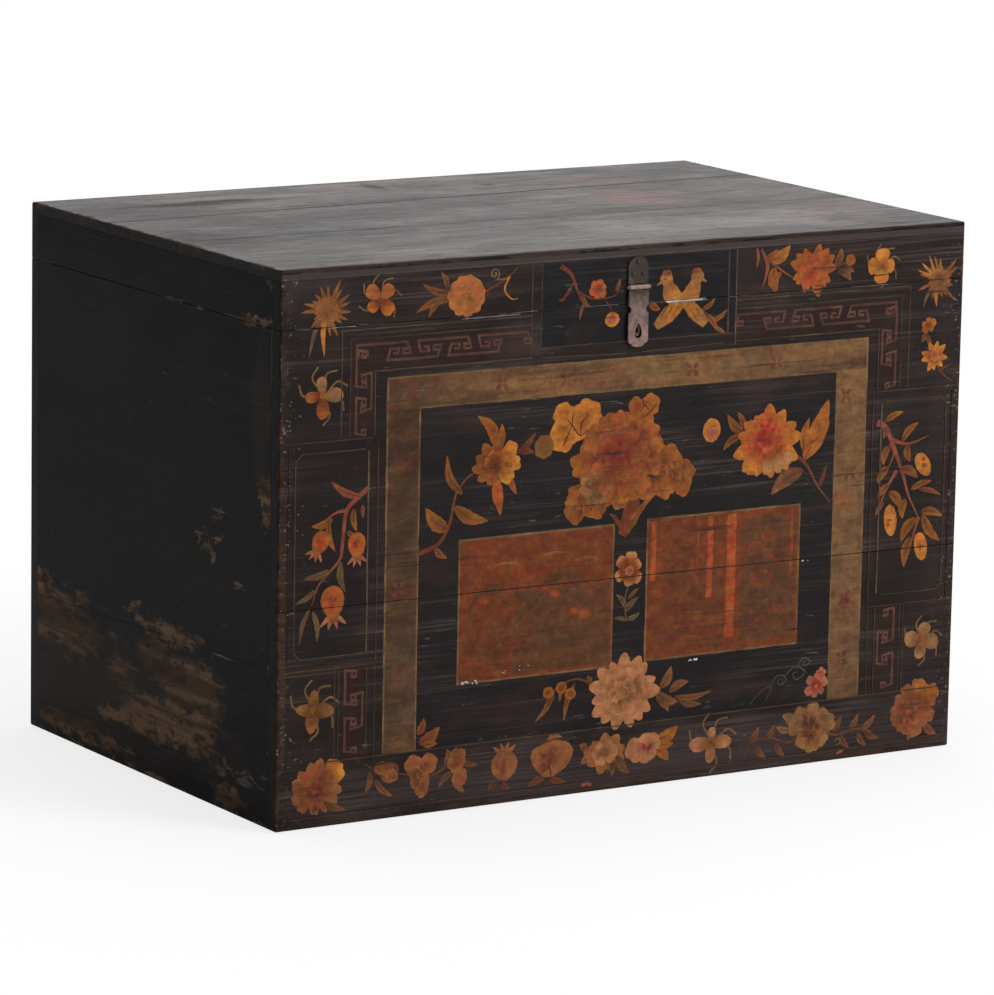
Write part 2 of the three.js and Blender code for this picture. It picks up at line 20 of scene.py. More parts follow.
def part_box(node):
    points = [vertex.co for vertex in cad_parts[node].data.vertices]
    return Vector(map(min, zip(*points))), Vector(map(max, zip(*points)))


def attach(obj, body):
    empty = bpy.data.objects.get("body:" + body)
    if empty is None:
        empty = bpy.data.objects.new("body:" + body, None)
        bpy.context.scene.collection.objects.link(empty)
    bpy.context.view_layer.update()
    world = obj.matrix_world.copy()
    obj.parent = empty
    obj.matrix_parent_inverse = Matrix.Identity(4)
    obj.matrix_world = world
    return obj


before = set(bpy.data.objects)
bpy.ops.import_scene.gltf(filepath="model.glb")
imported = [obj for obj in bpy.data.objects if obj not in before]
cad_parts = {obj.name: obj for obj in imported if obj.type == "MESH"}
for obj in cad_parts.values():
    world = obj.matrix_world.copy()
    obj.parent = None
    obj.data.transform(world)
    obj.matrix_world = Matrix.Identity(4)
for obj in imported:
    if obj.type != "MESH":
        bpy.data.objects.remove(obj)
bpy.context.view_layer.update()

LOG = logging.getLogger("chest")
MM = 0.001
PAINT = "paint"  # the colour attribute that every painted mark carries
BUMP_DISTANCE = 0.6 * MM
DULL_SPECULAR = 0.07  # of flanks, dirt and cracks

TINY = 1e-9

RGB = tuple[float, float, float]
Point = tuple[float, float]
Place = tuple[float, float, float]
Heart = tuple[float, float, float]  # the middle and the reach of a flower


def corners(node: str) -> tuple[Vector, Vector]:
    """Gives a CAD node's lowest and highest corners.

    Args:
        node: The node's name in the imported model.

    Returns:
        The lowest and the highest corner, in metres.
    """
    low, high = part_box(node)
    return Vector(low), Vector(high)


class Chest:
    """The chest's own planes, read from the CAD nodes."""

    left = corners("front_board_lower")[0].x
    right = corners("front_board_lower")[1].x
    front = corners("front_board_lower")[0].y
    back = corners("back_board_lower")[1].y
    top = corners("top_plank_front")[1].z
    rim = corners("front_board_upper")[1].z
    lid_base = corners("lid_front_rail")[0].z
    board_seam = corners("front_board_upper")[0].z


class Pigment(Enum):
    """The painter's colours, as they show after ageing, in linear light."""

    RED = (0.220, 0.034, 0.016)
    VERMILION = (0.158, 0.037, 0.012)
    ORANGE = (0.225, 0.058, 0.013)
    TAWNY = (0.190, 0.058, 0.015)
    COPPER = (0.245, 0.078, 0.020)
    AMBER = (0.290, 0.092, 0.021)
    GOLD = (0.375, 0.130, 0.026)
    YELLOW = (0.46, 0.172, 0.036)
    PALE = (0.43, 0.200, 0.075)
    ROSE = (0.35, 0.045, 0.022)
    BLUSH = (0.36, 0.080, 0.026)
    PINK = (0.33, 0.105, 0.066)
    SALMON = (0.34, 0.108, 0.036)
    WITHERED = (0.125, 0.052, 0.020)
    RUSSET = (0.225, 0.062, 0.020)
    MADDER = (0.205, 0.058, 0.025)
    TAN = (0.245, 0.090, 0.033)
    BUFF = (0.360, 0.150, 0.066)
    FLAME = (0.300, 0.068, 0.022)
    STRAW = (0.275, 0.118, 0.045)
    OCHRE = (0.19, 0.107, 0.042)
    OLIVE = (0.108, 0.064, 0.032)
    MOSS = (0.064, 0.043, 0.021)
    LEAF = (0.155, 0.062, 0.014)
    STEM = (0.142, 0.030, 0.015)
    CORAL = (0.225, 0.055, 0.032)
    UMBER = (0.034, 0.012, 0.006)
    MAROON = (0.022, 0.008, 0.006)
    FRET = (0.106, 0.043, 0.032)
    RULE = (0.105, 0.068, 0.042)
    MUSTARD = (0.165, 0.072, 0.018)
    CLAY = (0.130, 0.042, 0.028)
    DUSK = (0.098, 0.037, 0.014)
    EMBER = (0.215, 0.048, 0.016)
    HAZE = (0.200, 0.072, 0.024)
    CLOUD = (0.064, 0.072, 0.052)
    CHALK = (0.60, 0.570, 0.550)
    DUST = (0.090, 0.068, 0.062)
    BLUE_BLACK = (0.0060, 0.0056, 0.0072)
    WOOD = (0.055, 0.030, 0.019)


class Scheme(Enum):
    """Colours of a flower, fruit or leaf: heart, body, tip and rim."""

    PEONY = (Pigment.RED, Pigment.RUSSET, Pigment.AMBER, Pigment.GOLD)
    GLOWING = (Pigment.ROSE, Pigment.BLUSH, Pigment.GOLD, Pigment.YELLOW)
    AMBER = (Pigment.VERMILION, Pigment.ORANGE, Pigment.GOLD, Pigment.GOLD)
    HONEY = (Pigment.ORANGE, Pigment.AMBER, Pigment.AMBER, Pigment.GOLD)
    BRIGHT = (Pigment.ORANGE, Pigment.GOLD, Pigment.YELLOW, Pigment.YELLOW)
    BROWN = (Pigment.STEM, Pigment.LEAF, Pigment.ORANGE, Pigment.OCHRE)
    DUSTY = (Pigment.EMBER, Pigment.ORANGE, Pigment.PALE, Pigment.PALE)
    SALMON = (Pigment.SALMON, Pigment.SALMON, Pigment.SALMON, Pigment.YELLOW)
    LOBES = (Pigment.VERMILION, Pigment.TAWNY, Pigment.COPPER, Pigment.GOLD)
    ROSY = (Pigment.BLUSH, Pigment.FLAME, Pigment.AMBER, Pigment.GOLD)
    BUFF = (Pigment.STRAW, Pigment.BUFF, Pigment.BUFF, Pigment.PALE)
    HUSK = (Pigment.TAN, Pigment.OCHRE, Pigment.STRAW, Pigment.OCHRE)
    LEMON = (Pigment.GOLD, Pigment.YELLOW, Pigment.YELLOW, Pigment.YELLOW)
    STARRY = (Pigment.LEAF, Pigment.MUSTARD, Pigment.TAN, Pigment.COPPER)
    FRUIT = (Pigment.RUSSET, Pigment.BLUSH, Pigment.AMBER, Pigment.AMBER)
    BERRY = (Pigment.GOLD, Pigment.YELLOW, Pigment.GOLD, Pigment.PALE)
    RED_TWIGS = (Pigment.CORAL, Pigment.CORAL, Pigment.RUSSET, Pigment.TAN)
    FADED = (Pigment.MADDER, Pigment.CLAY, Pigment.CLAY, Pigment.CLAY)
    BISQUE = (Pigment.TAN, Pigment.STRAW, Pigment.STRAW, Pigment.TAN)
    CHALKY = (Pigment.CHALK, Pigment.CHALK, Pigment.CHALK, Pigment.CHALK)
    STALE = (Pigment.STRAW, Pigment.OCHRE, Pigment.OLIVE, Pigment.OLIVE)
    PALE_TIP = (Pigment.GOLD, Pigment.PALE, Pigment.PALE, Pigment.YELLOW)
    BUD = (Pigment.MUSTARD, Pigment.MUSTARD, Pigment.MUSTARD, Pigment.OLIVE)
    MUTED = (Pigment.MADDER, Pigment.TAN, Pigment.TAN, Pigment.STRAW)
    WITHERED = (Pigment.STEM, Pigment.WITHERED, Pigment.TAN, Pigment.WITHERED)
    PEACH = (Pigment.MADDER, Pigment.MADDER, Pigment.TAN, Pigment.STRAW)
    PINKISH = (Pigment.ROSE, Pigment.PINK, Pigment.PINK, Pigment.PALE)
    GREENISH = (Pigment.MOSS, Pigment.OLIVE, Pigment.OLIVE, Pigment.OCHRE)
    LEAVES = (Pigment.STEM, Pigment.LEAF, Pigment.AMBER, Pigment.AMBER)
    TWIGS = (Pigment.STEM, Pigment.STEM, Pigment.LEAF, Pigment.LEAF)
    GROVE = (Pigment.DUSK, Pigment.DUSK, Pigment.VERMILION, Pigment.DUSK)
    WARM_STONE = (Pigment.HAZE, Pigment.EMBER, Pigment.VERMILION, Pigment.VERMILION)
    BIRD = (Pigment.OCHRE, Pigment.GOLD, Pigment.OCHRE, Pigment.GOLD)

    def tone(self, place: float) -> np.ndarray:
        """Gives the colour at a place from the heart (0) to the tip (1)."""
        stops = np.array([pigment.value for pigment in self.value[:3]])
        return np.array([np.interp(place, (0.15, 0.5, 0.95), stops[:, i]) for i in range(3)])

    @property
    def rim(self) -> np.ndarray:
        """The colour of the fine outline."""
        return np.array(self.value[3].value)


class Taper(Enum):
    """How a stroke's half width runs from its start (0) to its end (1)."""

    EVEN = "even"
    FADING = "fading"
    LEAF = "leaf"
    SWELLING = "swelling"

    def at(self, t: np.ndarray) -> np.ndarray:
        """Gives the share of the full half width at places along a stroke."""
        if self is Taper.FADING:
            return 0.12 + 0.88 * (1 - t) ** 0.8
        if self is Taper.LEAF:
            return 0.06 + 0.94 * np.sin(np.pi * t**0.82) ** 0.9
        if self is Taper.SWELLING:
            return 0.3 + 0.7 * np.sin(np.pi * (0.15 + 0.7 * t)) ** 1.5
        return np.ones_like(t)


# Shader and geometry trees


class Value:
    """A socket of a node tree, whose sums are written as plain arithmetic."""

    def __init__(self, tree: "Tree", socket: bpy.types.NodeSocket) -> None:
        """Wraps a socket of a tree."""
        self.tree = tree
        self.socket = socket

    def __add__(self, other: object) -> "Value":
        """Adds another value or a number."""
        return self.tree.math("ADD", self, other)

    def __radd__(self, other: float) -> "Value":
        """Adds this value to a number."""
        return self.tree.math("ADD", other, self)

    def __sub__(self, other: object) -> "Value":
        """Takes another value or a number away."""
        return self.tree.math("SUBTRACT", self, other)

    def __rsub__(self, other: float) -> "Value":
        """Takes this value away from a number."""
        return self.tree.math("SUBTRACT", other, self)

    def __mul__(self, other: object) -> "Value":
        """Multiplies by another value or a number."""
        return self.tree.math("MULTIPLY", self, other)

    def __truediv__(self, other: object) -> "Value":
        """Divides by another value or a number."""
        return self.tree.math("DIVIDE", self, other)

    def __abs__(self) -> "Value":
        """Drops the sign."""
        return self.tree.math("ABSOLUTE", self)

    def most(self, other: object) -> "Value":
        """Gives the greater of two."""
        return self.tree.math("MAXIMUM", self, other)

    def least(self, other: object) -> "Value":
        """Gives the smaller of two."""
        return self.tree.math("MINIMUM", self, other)

    def rise(self, start: float, end: float) -> "Value":
        """Gives 0 below start, 1 above end and a smooth step between; start may be the greater."""
        flip = start > end
        low, high = (end, start) if flip else (start, end)
        ends = {"To Min": 1.0, "To Max": 0.0} if flip else {}
        inputs = {"Value": self, "From Min": low, "From Max": high, **ends}
        return self.tree.value("ShaderNodeMapRange", inputs, interpolation_type="SMOOTHSTEP")

    def mix(self, first: object, second: object) -> "Value":
        """Mixes two colours, with this as the second one's share."""
        return self.tree.value("ShaderNodeMix", {0: self, 6: first, 7: second}, 2, data_type="RGBA")

    def blend(self, first: object, second: object) -> "Value":
        """Mixes two numbers, with this as the second one's share."""
        return self.tree.value("ShaderNodeMix", {0: self, 2: first, 3: second}, data_type="FLOAT")


class Tree:
    """Builds a node tree in few words."""

    def __init__(self, tree: bpy.types.NodeTree) -> None:
        """Starts on an empty tree."""
        self.tree = tree
        tree.nodes.clear()

    def node(self, kind: str, inputs: dict | None = None, **settings: object) -> bpy.types.Node:
        """Adds a node.

        Args:
            kind: The node's type name.
            inputs: Socket name or index to a value or to the socket that feeds it.
            settings: Properties of the node.

        Returns:
            The new node.
        """
        node = self.tree.nodes.new(kind)
        for name, value in settings.items():
            setattr(node, name, value)
        for key, value in (inputs or {}).items():
            self.feed(node.inputs[key], value)
        return node

    def value(self, kind: str, inputs: dict | None = None, output: int | str = 0, **settings: object) -> Value:
        """Adds a node and gives one of its outputs."""
        return Value(self, self.node(kind, inputs, **settings).outputs[output])

    def feed(self, socket: bpy.types.NodeSocket, value: object) -> None:
        """Links a socket to another one, or sets its value."""
        source = value.socket if isinstance(value, Value) else value
        if isinstance(source, bpy.types.NodeSocket):
            self.tree.links.new(source, socket)
        elif isinstance(source, tuple) and len(source) == 3 and socket.type == "RGBA":
            socket.default_value = (*source, 1.0)
        else:
            socket.default_value = source

    def math(self, operation: str, *values: object) -> Value:
        """Adds a Math node and gives its result."""
        return self.value("ShaderNodeMath", dict(enumerate(values)), operation=operation)

    def noise(self, place: object, scale: tuple, detail: float, rough: float, shift: float = 0.0) -> Value:
        """Gives noise stretched by a scale for each axis.

        Args:
            place: The coordinates.
            scale: Waves in a metre along each axis.
            detail: Octaves.
            rough: How strong the finer octaves are.
            shift: Moves the pattern, so that two of them differ.

        Returns:
            The noise, round 0.5.
        """
        mapped = self.value("ShaderNodeMapping", {"Vector": place, "Scale": scale,
                                                  "Location": (shift, shift * 0.7, shift * 1.3)})
        inputs = {"Vector": mapped, "Scale": 1.0, "Detail": detail, "Roughness": rough}
        return self.value("ShaderNodeTexNoise", inputs)

    def place(self, output: str = "Object") -> Value:
        """Gives the shaded point's coordinates."""
        return self.value("ShaderNodeTexCoord", output=output)

    def axes(self, vector: object) -> tuple[Value, ...]:
        """Splits a vector into its three numbers."""
        return tuple(Value(self, part) for part in self.node("ShaderNodeSeparateXYZ", {0: vector}).outputs)

    def vector(self, *parts: object) -> Value:
        """Joins three numbers into a vector."""
        return self.value("ShaderNodeCombineXYZ", dict(enumerate(parts)))


def dimmed(colour: RGB, share: float) -> RGB:
    """Gives a share of a colour."""
    return tuple(channel * share for channel in colour)


class Face(Enum):
    """The axis that a board's shown face looks along."""

    X = 0
    Y = 1
    Z = 2


class Spot:
    """The shaded point of a board, with the noise that the layers of its finish share."""

    def __init__(self, tree: Tree, facing: Face) -> None:
        """Adds the nodes that say where the point lies.

        Args:
            tree: The tree to add them to.
            facing: The axis that the board's shown face looks along.
        """
        self.tree = tree
        self.x, self.y, self.z = tree.axes(tree.place())
        self.along, across = (self.y, self.x) if facing is Face.X else (self.x, self.y)
        self.up = self.y if facing is Face.Z else self.z
        self.grained = tree.vector(self.along, across, self.z)
        self.from_end = (Chest.right - Chest.left) / 2 - abs(self.x)
        self.from_front = (Chest.back - Chest.front) / 2 - abs(self.y - (Chest.front + Chest.back) / 2)
        self.from_top = Chest.top - self.z
        self.broad = self.noise(5, 14, 3, 0.5)
        self.clouds = self.noise(11, 17, 4, 0.6, 6.6)
        self.figure = self.noise(2.2, 75, 5, 0.62, 3.1)
        self.fine = self.noise(6, 330, 4, 0.6, 7.7)

    def noise(self, along: float, across: float, detail: float, rough: float, shift: float = 0.0) -> Value:
        """Gives noise by its waves in a metre along the grain and across it."""
        return self.tree.noise(self.grained, (along, across, across), detail, rough, shift)


@dataclass(frozen=True)
class Patch:
    """A worn or stained place on one face: its middle, half sizes and strength, and its colour if it is a stain."""

    middle: tuple[float, float]
    reach: tuple[float, float]
    strength: float = 1.0
    tint: RGB | None = None

    def nearness(self, along: Value, up: Value) -> Value:
        """Gives 1 at the middle, 0 at the edge and less beyond, from a place along the face and its height."""
        u = (along - self.middle[0]) / self.reach[0]
        v = (up - self.middle[1]) / self.reach[1]
        return 1.0 - (u * u + v * v)


@dataclass(frozen=True)
class Skin:
    """What the lacquer hands on to its shader and to the paint over it."""

    colour: Value
    rough: Value
    height: Value
    gloss: Value  # 1 where it shines, 0 on the flanks and where it is dirty or cracked
    raised: Value  # 1 on the ridges of the grain
    dust: Value  # the share of pale scuffs
    gone: Value  # 1 where it is worn off or cracked


@dataclass(frozen=True)
class Lacquer:
    """Aged lacquer over softwood, which shows bare inside the chest."""

    name: str
    face: Face
    deep: RGB
    dusty: RGB
    bare: RGB = Pigment.WOOD.value
    flank: RGB = (0.012, 0.009, 0.008)
    brow: RGB | None = None
    dust: float = 0.5
    scuffs: float = 0.5
    roughness: float = 0.5
    specular: float = 0.12
    bump: float = 0.25
    patches: tuple[Patch, ...] = ()
    stains: tuple[Patch, ...] = ()
    seams: tuple[tuple[float, float], ...] = ()
    seam_width: float = 0.0014
    dimples: float = 0.0
    streaks: float = 0.0

    SCUFFED = (0.27, 0.245, 0.235)
    # painted shadow: the dark line just under the top's front arris
    BROW_SHADOW = (0.007, 0.005, 0.005)
    DARK_STAIN = 0.1  # stains with less light than this also dull the shine
    ARRIS = 0.012  # how far the wear of the arrises reaches
    SKIN_DEPTH = (0.0032, 0.0022)  # the lacquer ends this far below the surface

    def surface(self, spot: Spot) -> Skin:
        """Adds the nodes that work out the lacquer at a spot."""
        tree = spot.tree
        raised = spot.figure.rise(0.40, 0.66) * spot.fine.rise(0.40, 0.62)
        amount = raised * (spot.broad.rise(0.3, 0.62) * self.dust)
        colour, shine = self.ground(spot, amount)
        worn = self.wear(spot)
        wood = spot.figure.rise(0.36, 0.66).mix(dimmed(self.bare, 0.4), self.bare)
        mottle = spot.noise(38, 95, 5, 0.65, 41.0).rise(0.47, 0.66)
        wood = (mottle * 0.75).mix(wood, dimmed(self.bare, 0.3))
        colour = worn.mix(colour, wood)
        scuff = self.scuffed(spot)
        colour = scuff.mix(colour, self.SCUFFED)
        open_seam = 0.0
        for low, high in self.seams:
            slope = (high - low) / (Chest.right - Chest.left)
            off = abs(spot.up - tree.math("MULTIPLY_ADD", spot.along, slope, (low + high) / 2))
            crack = off.rise(self.seam_width, self.seam_width / 3) * spot.broad.rise(0.3, 0.5).blend(0.35, 1.0)
            colour = crack.mix(colour, dimmed(self.deep, 0.2))
            open_seam = tree.math("MAXIMUM", open_seam, crack)
        below = (spot.from_end, spot.from_front, spot.from_top)[self.face.value]
        flat = below.rise(0.0009, 0.0004)
        bared = (worn * 0.75).most(amount * 0.04)
        colour = flat.mix(bared.mix(self.edge_tone(spot), wood), colour)
        height = raised + spot.fine * 0.4 - worn
        if self.dimples:
            height = height + spot.noise(34, 52, 5, 0.6, 12.0) * self.dimples
            height = height * flat.blend(0.15, 1.0)
        return Skin(colour, worn.blend(amount * 0.2 + self.roughness, 0.8), height,
                    flat * shine * tree.math("SUBTRACT", 1.0, open_seam), raised, scuff, worn.most(open_seam))

    def ground(self, spot: Spot, amount: Value) -> tuple[Value, Value | float]:
        """Gives the colour and the shine of the whole lacquer, with its dust, haze, stains and dirty streaks.

        Args:
            spot: The shaded point.
            amount: The share of dust on the grain.

        Returns:
            The colour, and the share of the shine that is left.
        """
        shadow = dimmed(self.deep, 0.5)
        colour = amount.mix(self.deep, self.dusty)
        haze = spot.clouds.rise(0.44, 0.70) * (0.42 * self.dust)
        colour = haze.mix(colour, tuple(0.5 * (a + b) for a, b in zip(self.deep, self.dusty)))
        colour = (spot.broad.rise(0.58, 0.34) * 0.5).mix(colour, shadow)
        covers = []
        for stain in self.stains:
            near = stain.nearness(spot.along, spot.up) + (spot.clouds - 0.5) * 2.6
            covers.append(near.rise(0.0, 0.9))
            colour = (covers[-1] * stain.strength * spot.fine.rise(0.25, 0.55)).mix(colour, stain.tint)
        if not self.streaks:
            return colour, 1.0
        streak = spot.noise(4.5, 150, 5, 0.68, 27.0).rise(0.54, 0.70)
        dab = spot.noise(60, 130, 4, 0.62, 33.0).rise(0.56, 0.70)
        dirt = streak.most(dab * 0.8) * self.streaks
        cloudy = spot.noise(15, 34, 5, 0.62, 45.0).rise(0.58, 0.40)
        shine = (1.0 - dirt * 0.85) * cloudy.blend(0.62, 1.0)
        for stain, cover in zip(self.stains, covers):
            if sum(stain.tint) < self.DARK_STAIN:
                shine = shine * (1.0 - cover * (0.85 * stain.strength))
        return dirt.mix(colour, shadow), shine

    def scuffed(self, spot: Spot) -> Value:
        """Gives the share of pale scuffs, which crowd at the ends of the front and the back."""
        scuff = spot.noise(48, 270, 3, 0.6, 1.9).rise(0.64, 0.72) * spot.noise(8, 20, 2, 0.5, 5.3).rise(0.46, 0.64)
        corner = spot.from_end.rise(0.050, 0.008) if self.face is Face.Y else 0.0
        speck = spot.tree.math("MULTIPLY_ADD", corner, 0.10, spot.noise(170, 260, 2, 0.5, 2.9))
        speck = speck.rise(0.735, 0.765) * spot.clouds.rise(0.5, 0.6).most(corner)
        scuff = scuff.most(speck * 0.8) * self.scuffs
        return scuff.most(speck * corner * (spot.clouds.rise(0.46, 0.58) * 0.45))

    def edge_tone(self, spot: Spot) -> RGB | Value:
        """Gives the colour of the board's narrow edges, with a painted shadow line under the arris where there is a
        brow.
        """
        if not self.brow:
            return self.flank
        # painted shadow: a dark band from about 1.4 to 5.4 mm under the top, on the front edge
        line = spot.from_top.rise(0.0054, 0.0036) * spot.from_top.rise(0.0004, 0.0014)
        line = line * spot.figure.rise(0.30, 0.42).blend(0.45, 1.0)
        return spot.from_front.rise(0.0016, 0.0008).mix(self.flank, line.mix(self.brow, self.BROW_SHADOW))

    def wear(self, spot: Spot) -> Value:
        """Gives how far the lacquer is worn off, from 0 to 1, on the arrises, along the lid's seam and in patches."""
        tree, end, front = spot.tree, spot.from_end, spot.from_front
        ragged = (spot.noise(15, 34, 8, 0.68, 11.0) - 0.5) * 3.4
        upright = end.most(front).rise(self.ARRIS, 0.0)
        upper = spot.from_top.most(end.least(front)).rise(self.ARRIS, 0.0)
        lower = spot.z.rise(0.02, 0.0) * 0.85
        seam = abs(spot.z - (Chest.rim + Chest.lid_base) / 2).rise(0.006, 0.0) * 0.6
        edge = upright.most(upper).most(lower.most(seam))
        worn = (edge * 1.1 + ragged).rise(0.78, 0.98) * edge.rise(0.02, 0.2)
        if not self.patches:
            return worn
        feather = tree.math("MULTIPLY_ADD", spot.noise(24, 80, 6, 0.66, 17.0) - 0.5, 3.2, ragged * 0.45)
        bend, lift = spot.noise(50, 75, 4, 0.62, 71.0) - 0.5, spot.noise(42, 60, 4, 0.62, 83.0) - 0.5
        along = tree.math("MULTIPLY_ADD", bend, 0.075, spot.along)
        up = tree.math("MULTIPLY_ADD", lift, 0.055, spot.up)
        for patch in self.patches:
            near = patch.nearness(along, up)
            bald = (near * (1.15 * patch.strength) + feather).rise(0.1, 1.15) * near.rise(-1.0, -0.2)
            worn = worn.most(bald * 0.9)
        islands = spot.noise(30, 62, 6, 0.68, 91.0).rise(0.535, 0.60)
        return worn * (1.0 - islands * 0.85)

    def material(self) -> bpy.types.Material:
        """Makes the board's material: lacquer outside, bare wood inside."""
        material, tree = new_material(self.name)
        spot = Spot(tree, self.face)
        skin = self.surface(spot)
        outside = spot.from_end.least(spot.from_front).least(spot.from_top).rise(*self.SKIN_DEPTH)
        colour = outside.mix(BareWood.colour(tree, spot.grained), skin.colour)
        rough = outside.blend(BareWood.ROUGHNESS, skin.rough)
        finish(tree, colour, rough, skin.height, self.bump, {"Specular IOR Level": self.specular}, skin.gloss)
        return material


@dataclass(frozen=True)
class Paint:
    """Old paint on the lacquered front: it thins over raised grain, and the ground shows where it is gone."""

    ground: Lacquer
    name: str = "old_paint"
    roughness: float = 0.52
    specular: float = 0.12
    grime: RGB = (0.075, 0.030, 0.014)
    scuffed: RGB = (0.30, 0.27, 0.25)

    def material(self) -> bpy.types.Material:
        """Makes the material, which takes each mark's colour and opacity from the paint attribute."""
        material, tree = new_material(self.name)
        spot = Spot(tree, self.ground.face)
        skin = self.ground.surface(spot)
        mark = tree.node("ShaderNodeAttribute", attribute_name=PAINT)
        place = tree.vector(spot.x, spot.y, spot.z)
        mottled = spot.noise(55, 90, 4, 0.6, 21.0).rise(0.32, 0.68)
        washed = spot.noise(12, 20, 3, 0.55, 4.4)
        dabbed = tree.noise(place, (150, 150, 150), 4, 0.62, 52.0).rise(0.34, 0.66)
        shifted = tree.noise(place, (85, 85, 85), 3, 0.6, 61.0).rise(0.34, 0.66)
        value = mottled.blend(1.14, 0.76) * dabbed.blend(1.12, 0.84)
        aged = tree.value("ShaderNodeHueSaturation", {"Hue": shifted.blend(0.489, 0.509), "Value": value,
                                                      "Saturation": 1.03, "Color": mark.outputs["Color"]})
        aged = (washed.rise(0.54, 0.76) * 0.3).mix(aged, self.grime)
        lost = spot.noise(7, 260, 4, 0.6, 15.0).rise(0.54, 0.74) * washed.rise(0.42, 0.68)
        lost = lost.most(spot.noise(95, 150, 4, 0.62, 9.9).rise(0.65, 0.70) * 0.45)
        dark = tree.value("ShaderNodeRGBToBW", {0: mark.outputs["Color"]}).rise(0.03, 0.015)
        rubbed = skin.raised * dark.blend(0.18, 0.6)
        cover = (1.0 - lost.most(rubbed)) * mark.outputs["Alpha"] * (1.0 - skin.gone)
        colour = skin.dust.mix(cover.mix(skin.colour, aged), self.scuffed)
        finish(tree, colour, cover.blend(skin.rough, self.roughness), skin.height + cover * 0.4, self.ground.bump,
               {"Specular IOR Level": self.specular})
        return material


@dataclass(frozen=True)
class BareWood:
    """Unfinished softwood, browned by age, as inside the chest, with its grain along the x or the y axis."""

    name: str
    along_x: bool = True

    ROUGHNESS = 0.82

    @staticmethod
    def fibre(tree: Tree, grained: Value) -> Value:
        """Gives the fine fibres, for coordinates whose first axis follows the grain."""
        return tree.noise(grained, (9, 420, 420), 3, 0.6, 8.8)

    @staticmethod
    def colour(tree: Tree, grained: Value) -> Value:
        """Gives the wood's colour, for coordinates whose first axis follows the grain."""
        rings = tree.noise(grained, (2.0, 60, 60), 5, 0.6, 31.0)
        stain = tree.noise(grained, (5, 9, 9), 3, 0.5, 2.2)
        colour = rings.rise(0.36, 0.66).mix((0.235, 0.130, 0.062), (0.33, 0.205, 0.108))
        colour = (BareWood.fibre(tree, grained).rise(0.5, 0.72) * 0.35).mix(colour, (0.13, 0.072, 0.036))
        return (stain.rise(0.48, 0.72) * 0.45).mix(colour, (0.12, 0.07, 0.042))

    def material(self) -> bpy.types.Material:
        """Makes the material."""
        material, tree = new_material(self.name)
        x, y, z = tree.axes(tree.place())
        grained = tree.vector(x, y, z) if self.along_x else tree.vector(y, x, z)
        finish(tree, self.colour(tree, grained), self.ROUGHNESS, self.fibre(tree, grained), 0.3,
               {"Specular IOR Level": 0.25})
        return material


@dataclass(frozen=True)
class Iron:
    """Forged iron with a brown patina, lighter from the hasp's pin down the strap and in clouds, with a painted
    highlight along the knuckle.
    """

    name: str = "forged_iron"
    patina: RGB = (0.036, 0.026, 0.022)
    # light iron colour: the clouds, the strap below the pin, and the painted highlight along the knuckle
    rubbed: RGB = (0.260, 0.165, 0.146)
    rust: RGB = (0.040, 0.020, 0.015)
    pin_height: float = corners("hasp_pin")[0].z / 2 + corners("hasp_pin")[1].z / 2

    def material(self) -> bpy.types.Material:
        """Makes the material."""
        material, tree = new_material(self.name)
        place = tree.place()
        cloud = tree.noise(place, (45, 45, 45), 4, 0.6)
        pits = tree.noise(place, (300, 300, 220), 6, 0.72, 9.0)
        height = tree.axes(place)[2]
        # lighter in colour from the pin down the strap
        lighter_below_pin = height.rise(self.pin_height, self.pin_height - 0.07) * 0.75
        # painted highlight: a light band along the knuckle, at the pin's height
        pin = abs(height - self.pin_height).rise(0.0035, 0.001)
        bright = lighter_below_pin.most(pin * 0.7) + (cloud - 0.44) * 1.7
        colour = bright.rise(0.0, 1.0).mix(self.patina, self.rubbed)
        colour = (pits.rise(0.5, 0.66) * 0.45).mix(colour, self.rust)
        rough = pits.rise(0.4, 0.7).blend(0.46, 0.78)
        finish(tree, colour, rough, pits, 0.35, {"Metallic": 0.4, "Specular IOR Level": 0.3})
        return material


@dataclass(frozen=True)
class PegWood:
    """Weathered end grain of small pegs."""

    name: str = "peg_end_grain"
    colour: RGB = (0.055, 0.042, 0.034)

    def material(self) -> bpy.types.Material:
        """Makes the material."""
        material, tree = new_material(self.name)
        speck = tree.noise(tree.place(), (600, 600, 600), 3, 0.6)
        colour = speck.rise(0.35, 0.7).mix(self.colour, dimmed(self.colour, 0.4))
        finish(tree, colour, 0.8, speck, 0.3, {"Specular IOR Level": 0.25})
        return material


def new_material(name: str) -> tuple[bpy.types.Material, Tree]:
    """Makes an empty material with nodes."""
    material = bpy.data.materials.new(name)
    material.use_nodes = True
    return material, Tree(material.node_tree)


def finish(tree: Tree, colour: object, rough: object, height: object, bump: float, constants: dict,
           gloss: Value | None = None) -> None:
    """Ends a material in a Principled shader.

    Args:
        tree: The material's tree.
        colour: Base colour.
        rough: Roughness.
        height: Height for the bump.
        bump: The bump's strength.
        constants: Values set on the shader's own sockets.
        gloss: 1 where the lacquer keeps its shine and 0 where it is dull, as on the flanks.
    """
    bumped = tree.value("ShaderNodeBump", {"Strength": bump, "Distance": BUMP_DISTANCE, "Height": height})
    inputs = {"Base Color": colour, "Roughness": rough, "Normal": bumped}
    surface = tree.value("ShaderNodeBsdfPrincipled", {**inputs, **constants})
    if gloss is not None:
        dull = tree.value("ShaderNodeBsdfPrincipled", {**inputs, "Specular IOR Level": DULL_SPECULAR})
        surface = tree.value("ShaderNodeMixShader", {0: gloss, 1: dull, 2: surface})
    tree.node("ShaderNodeOutputMaterial", {0: surface})


# The brush


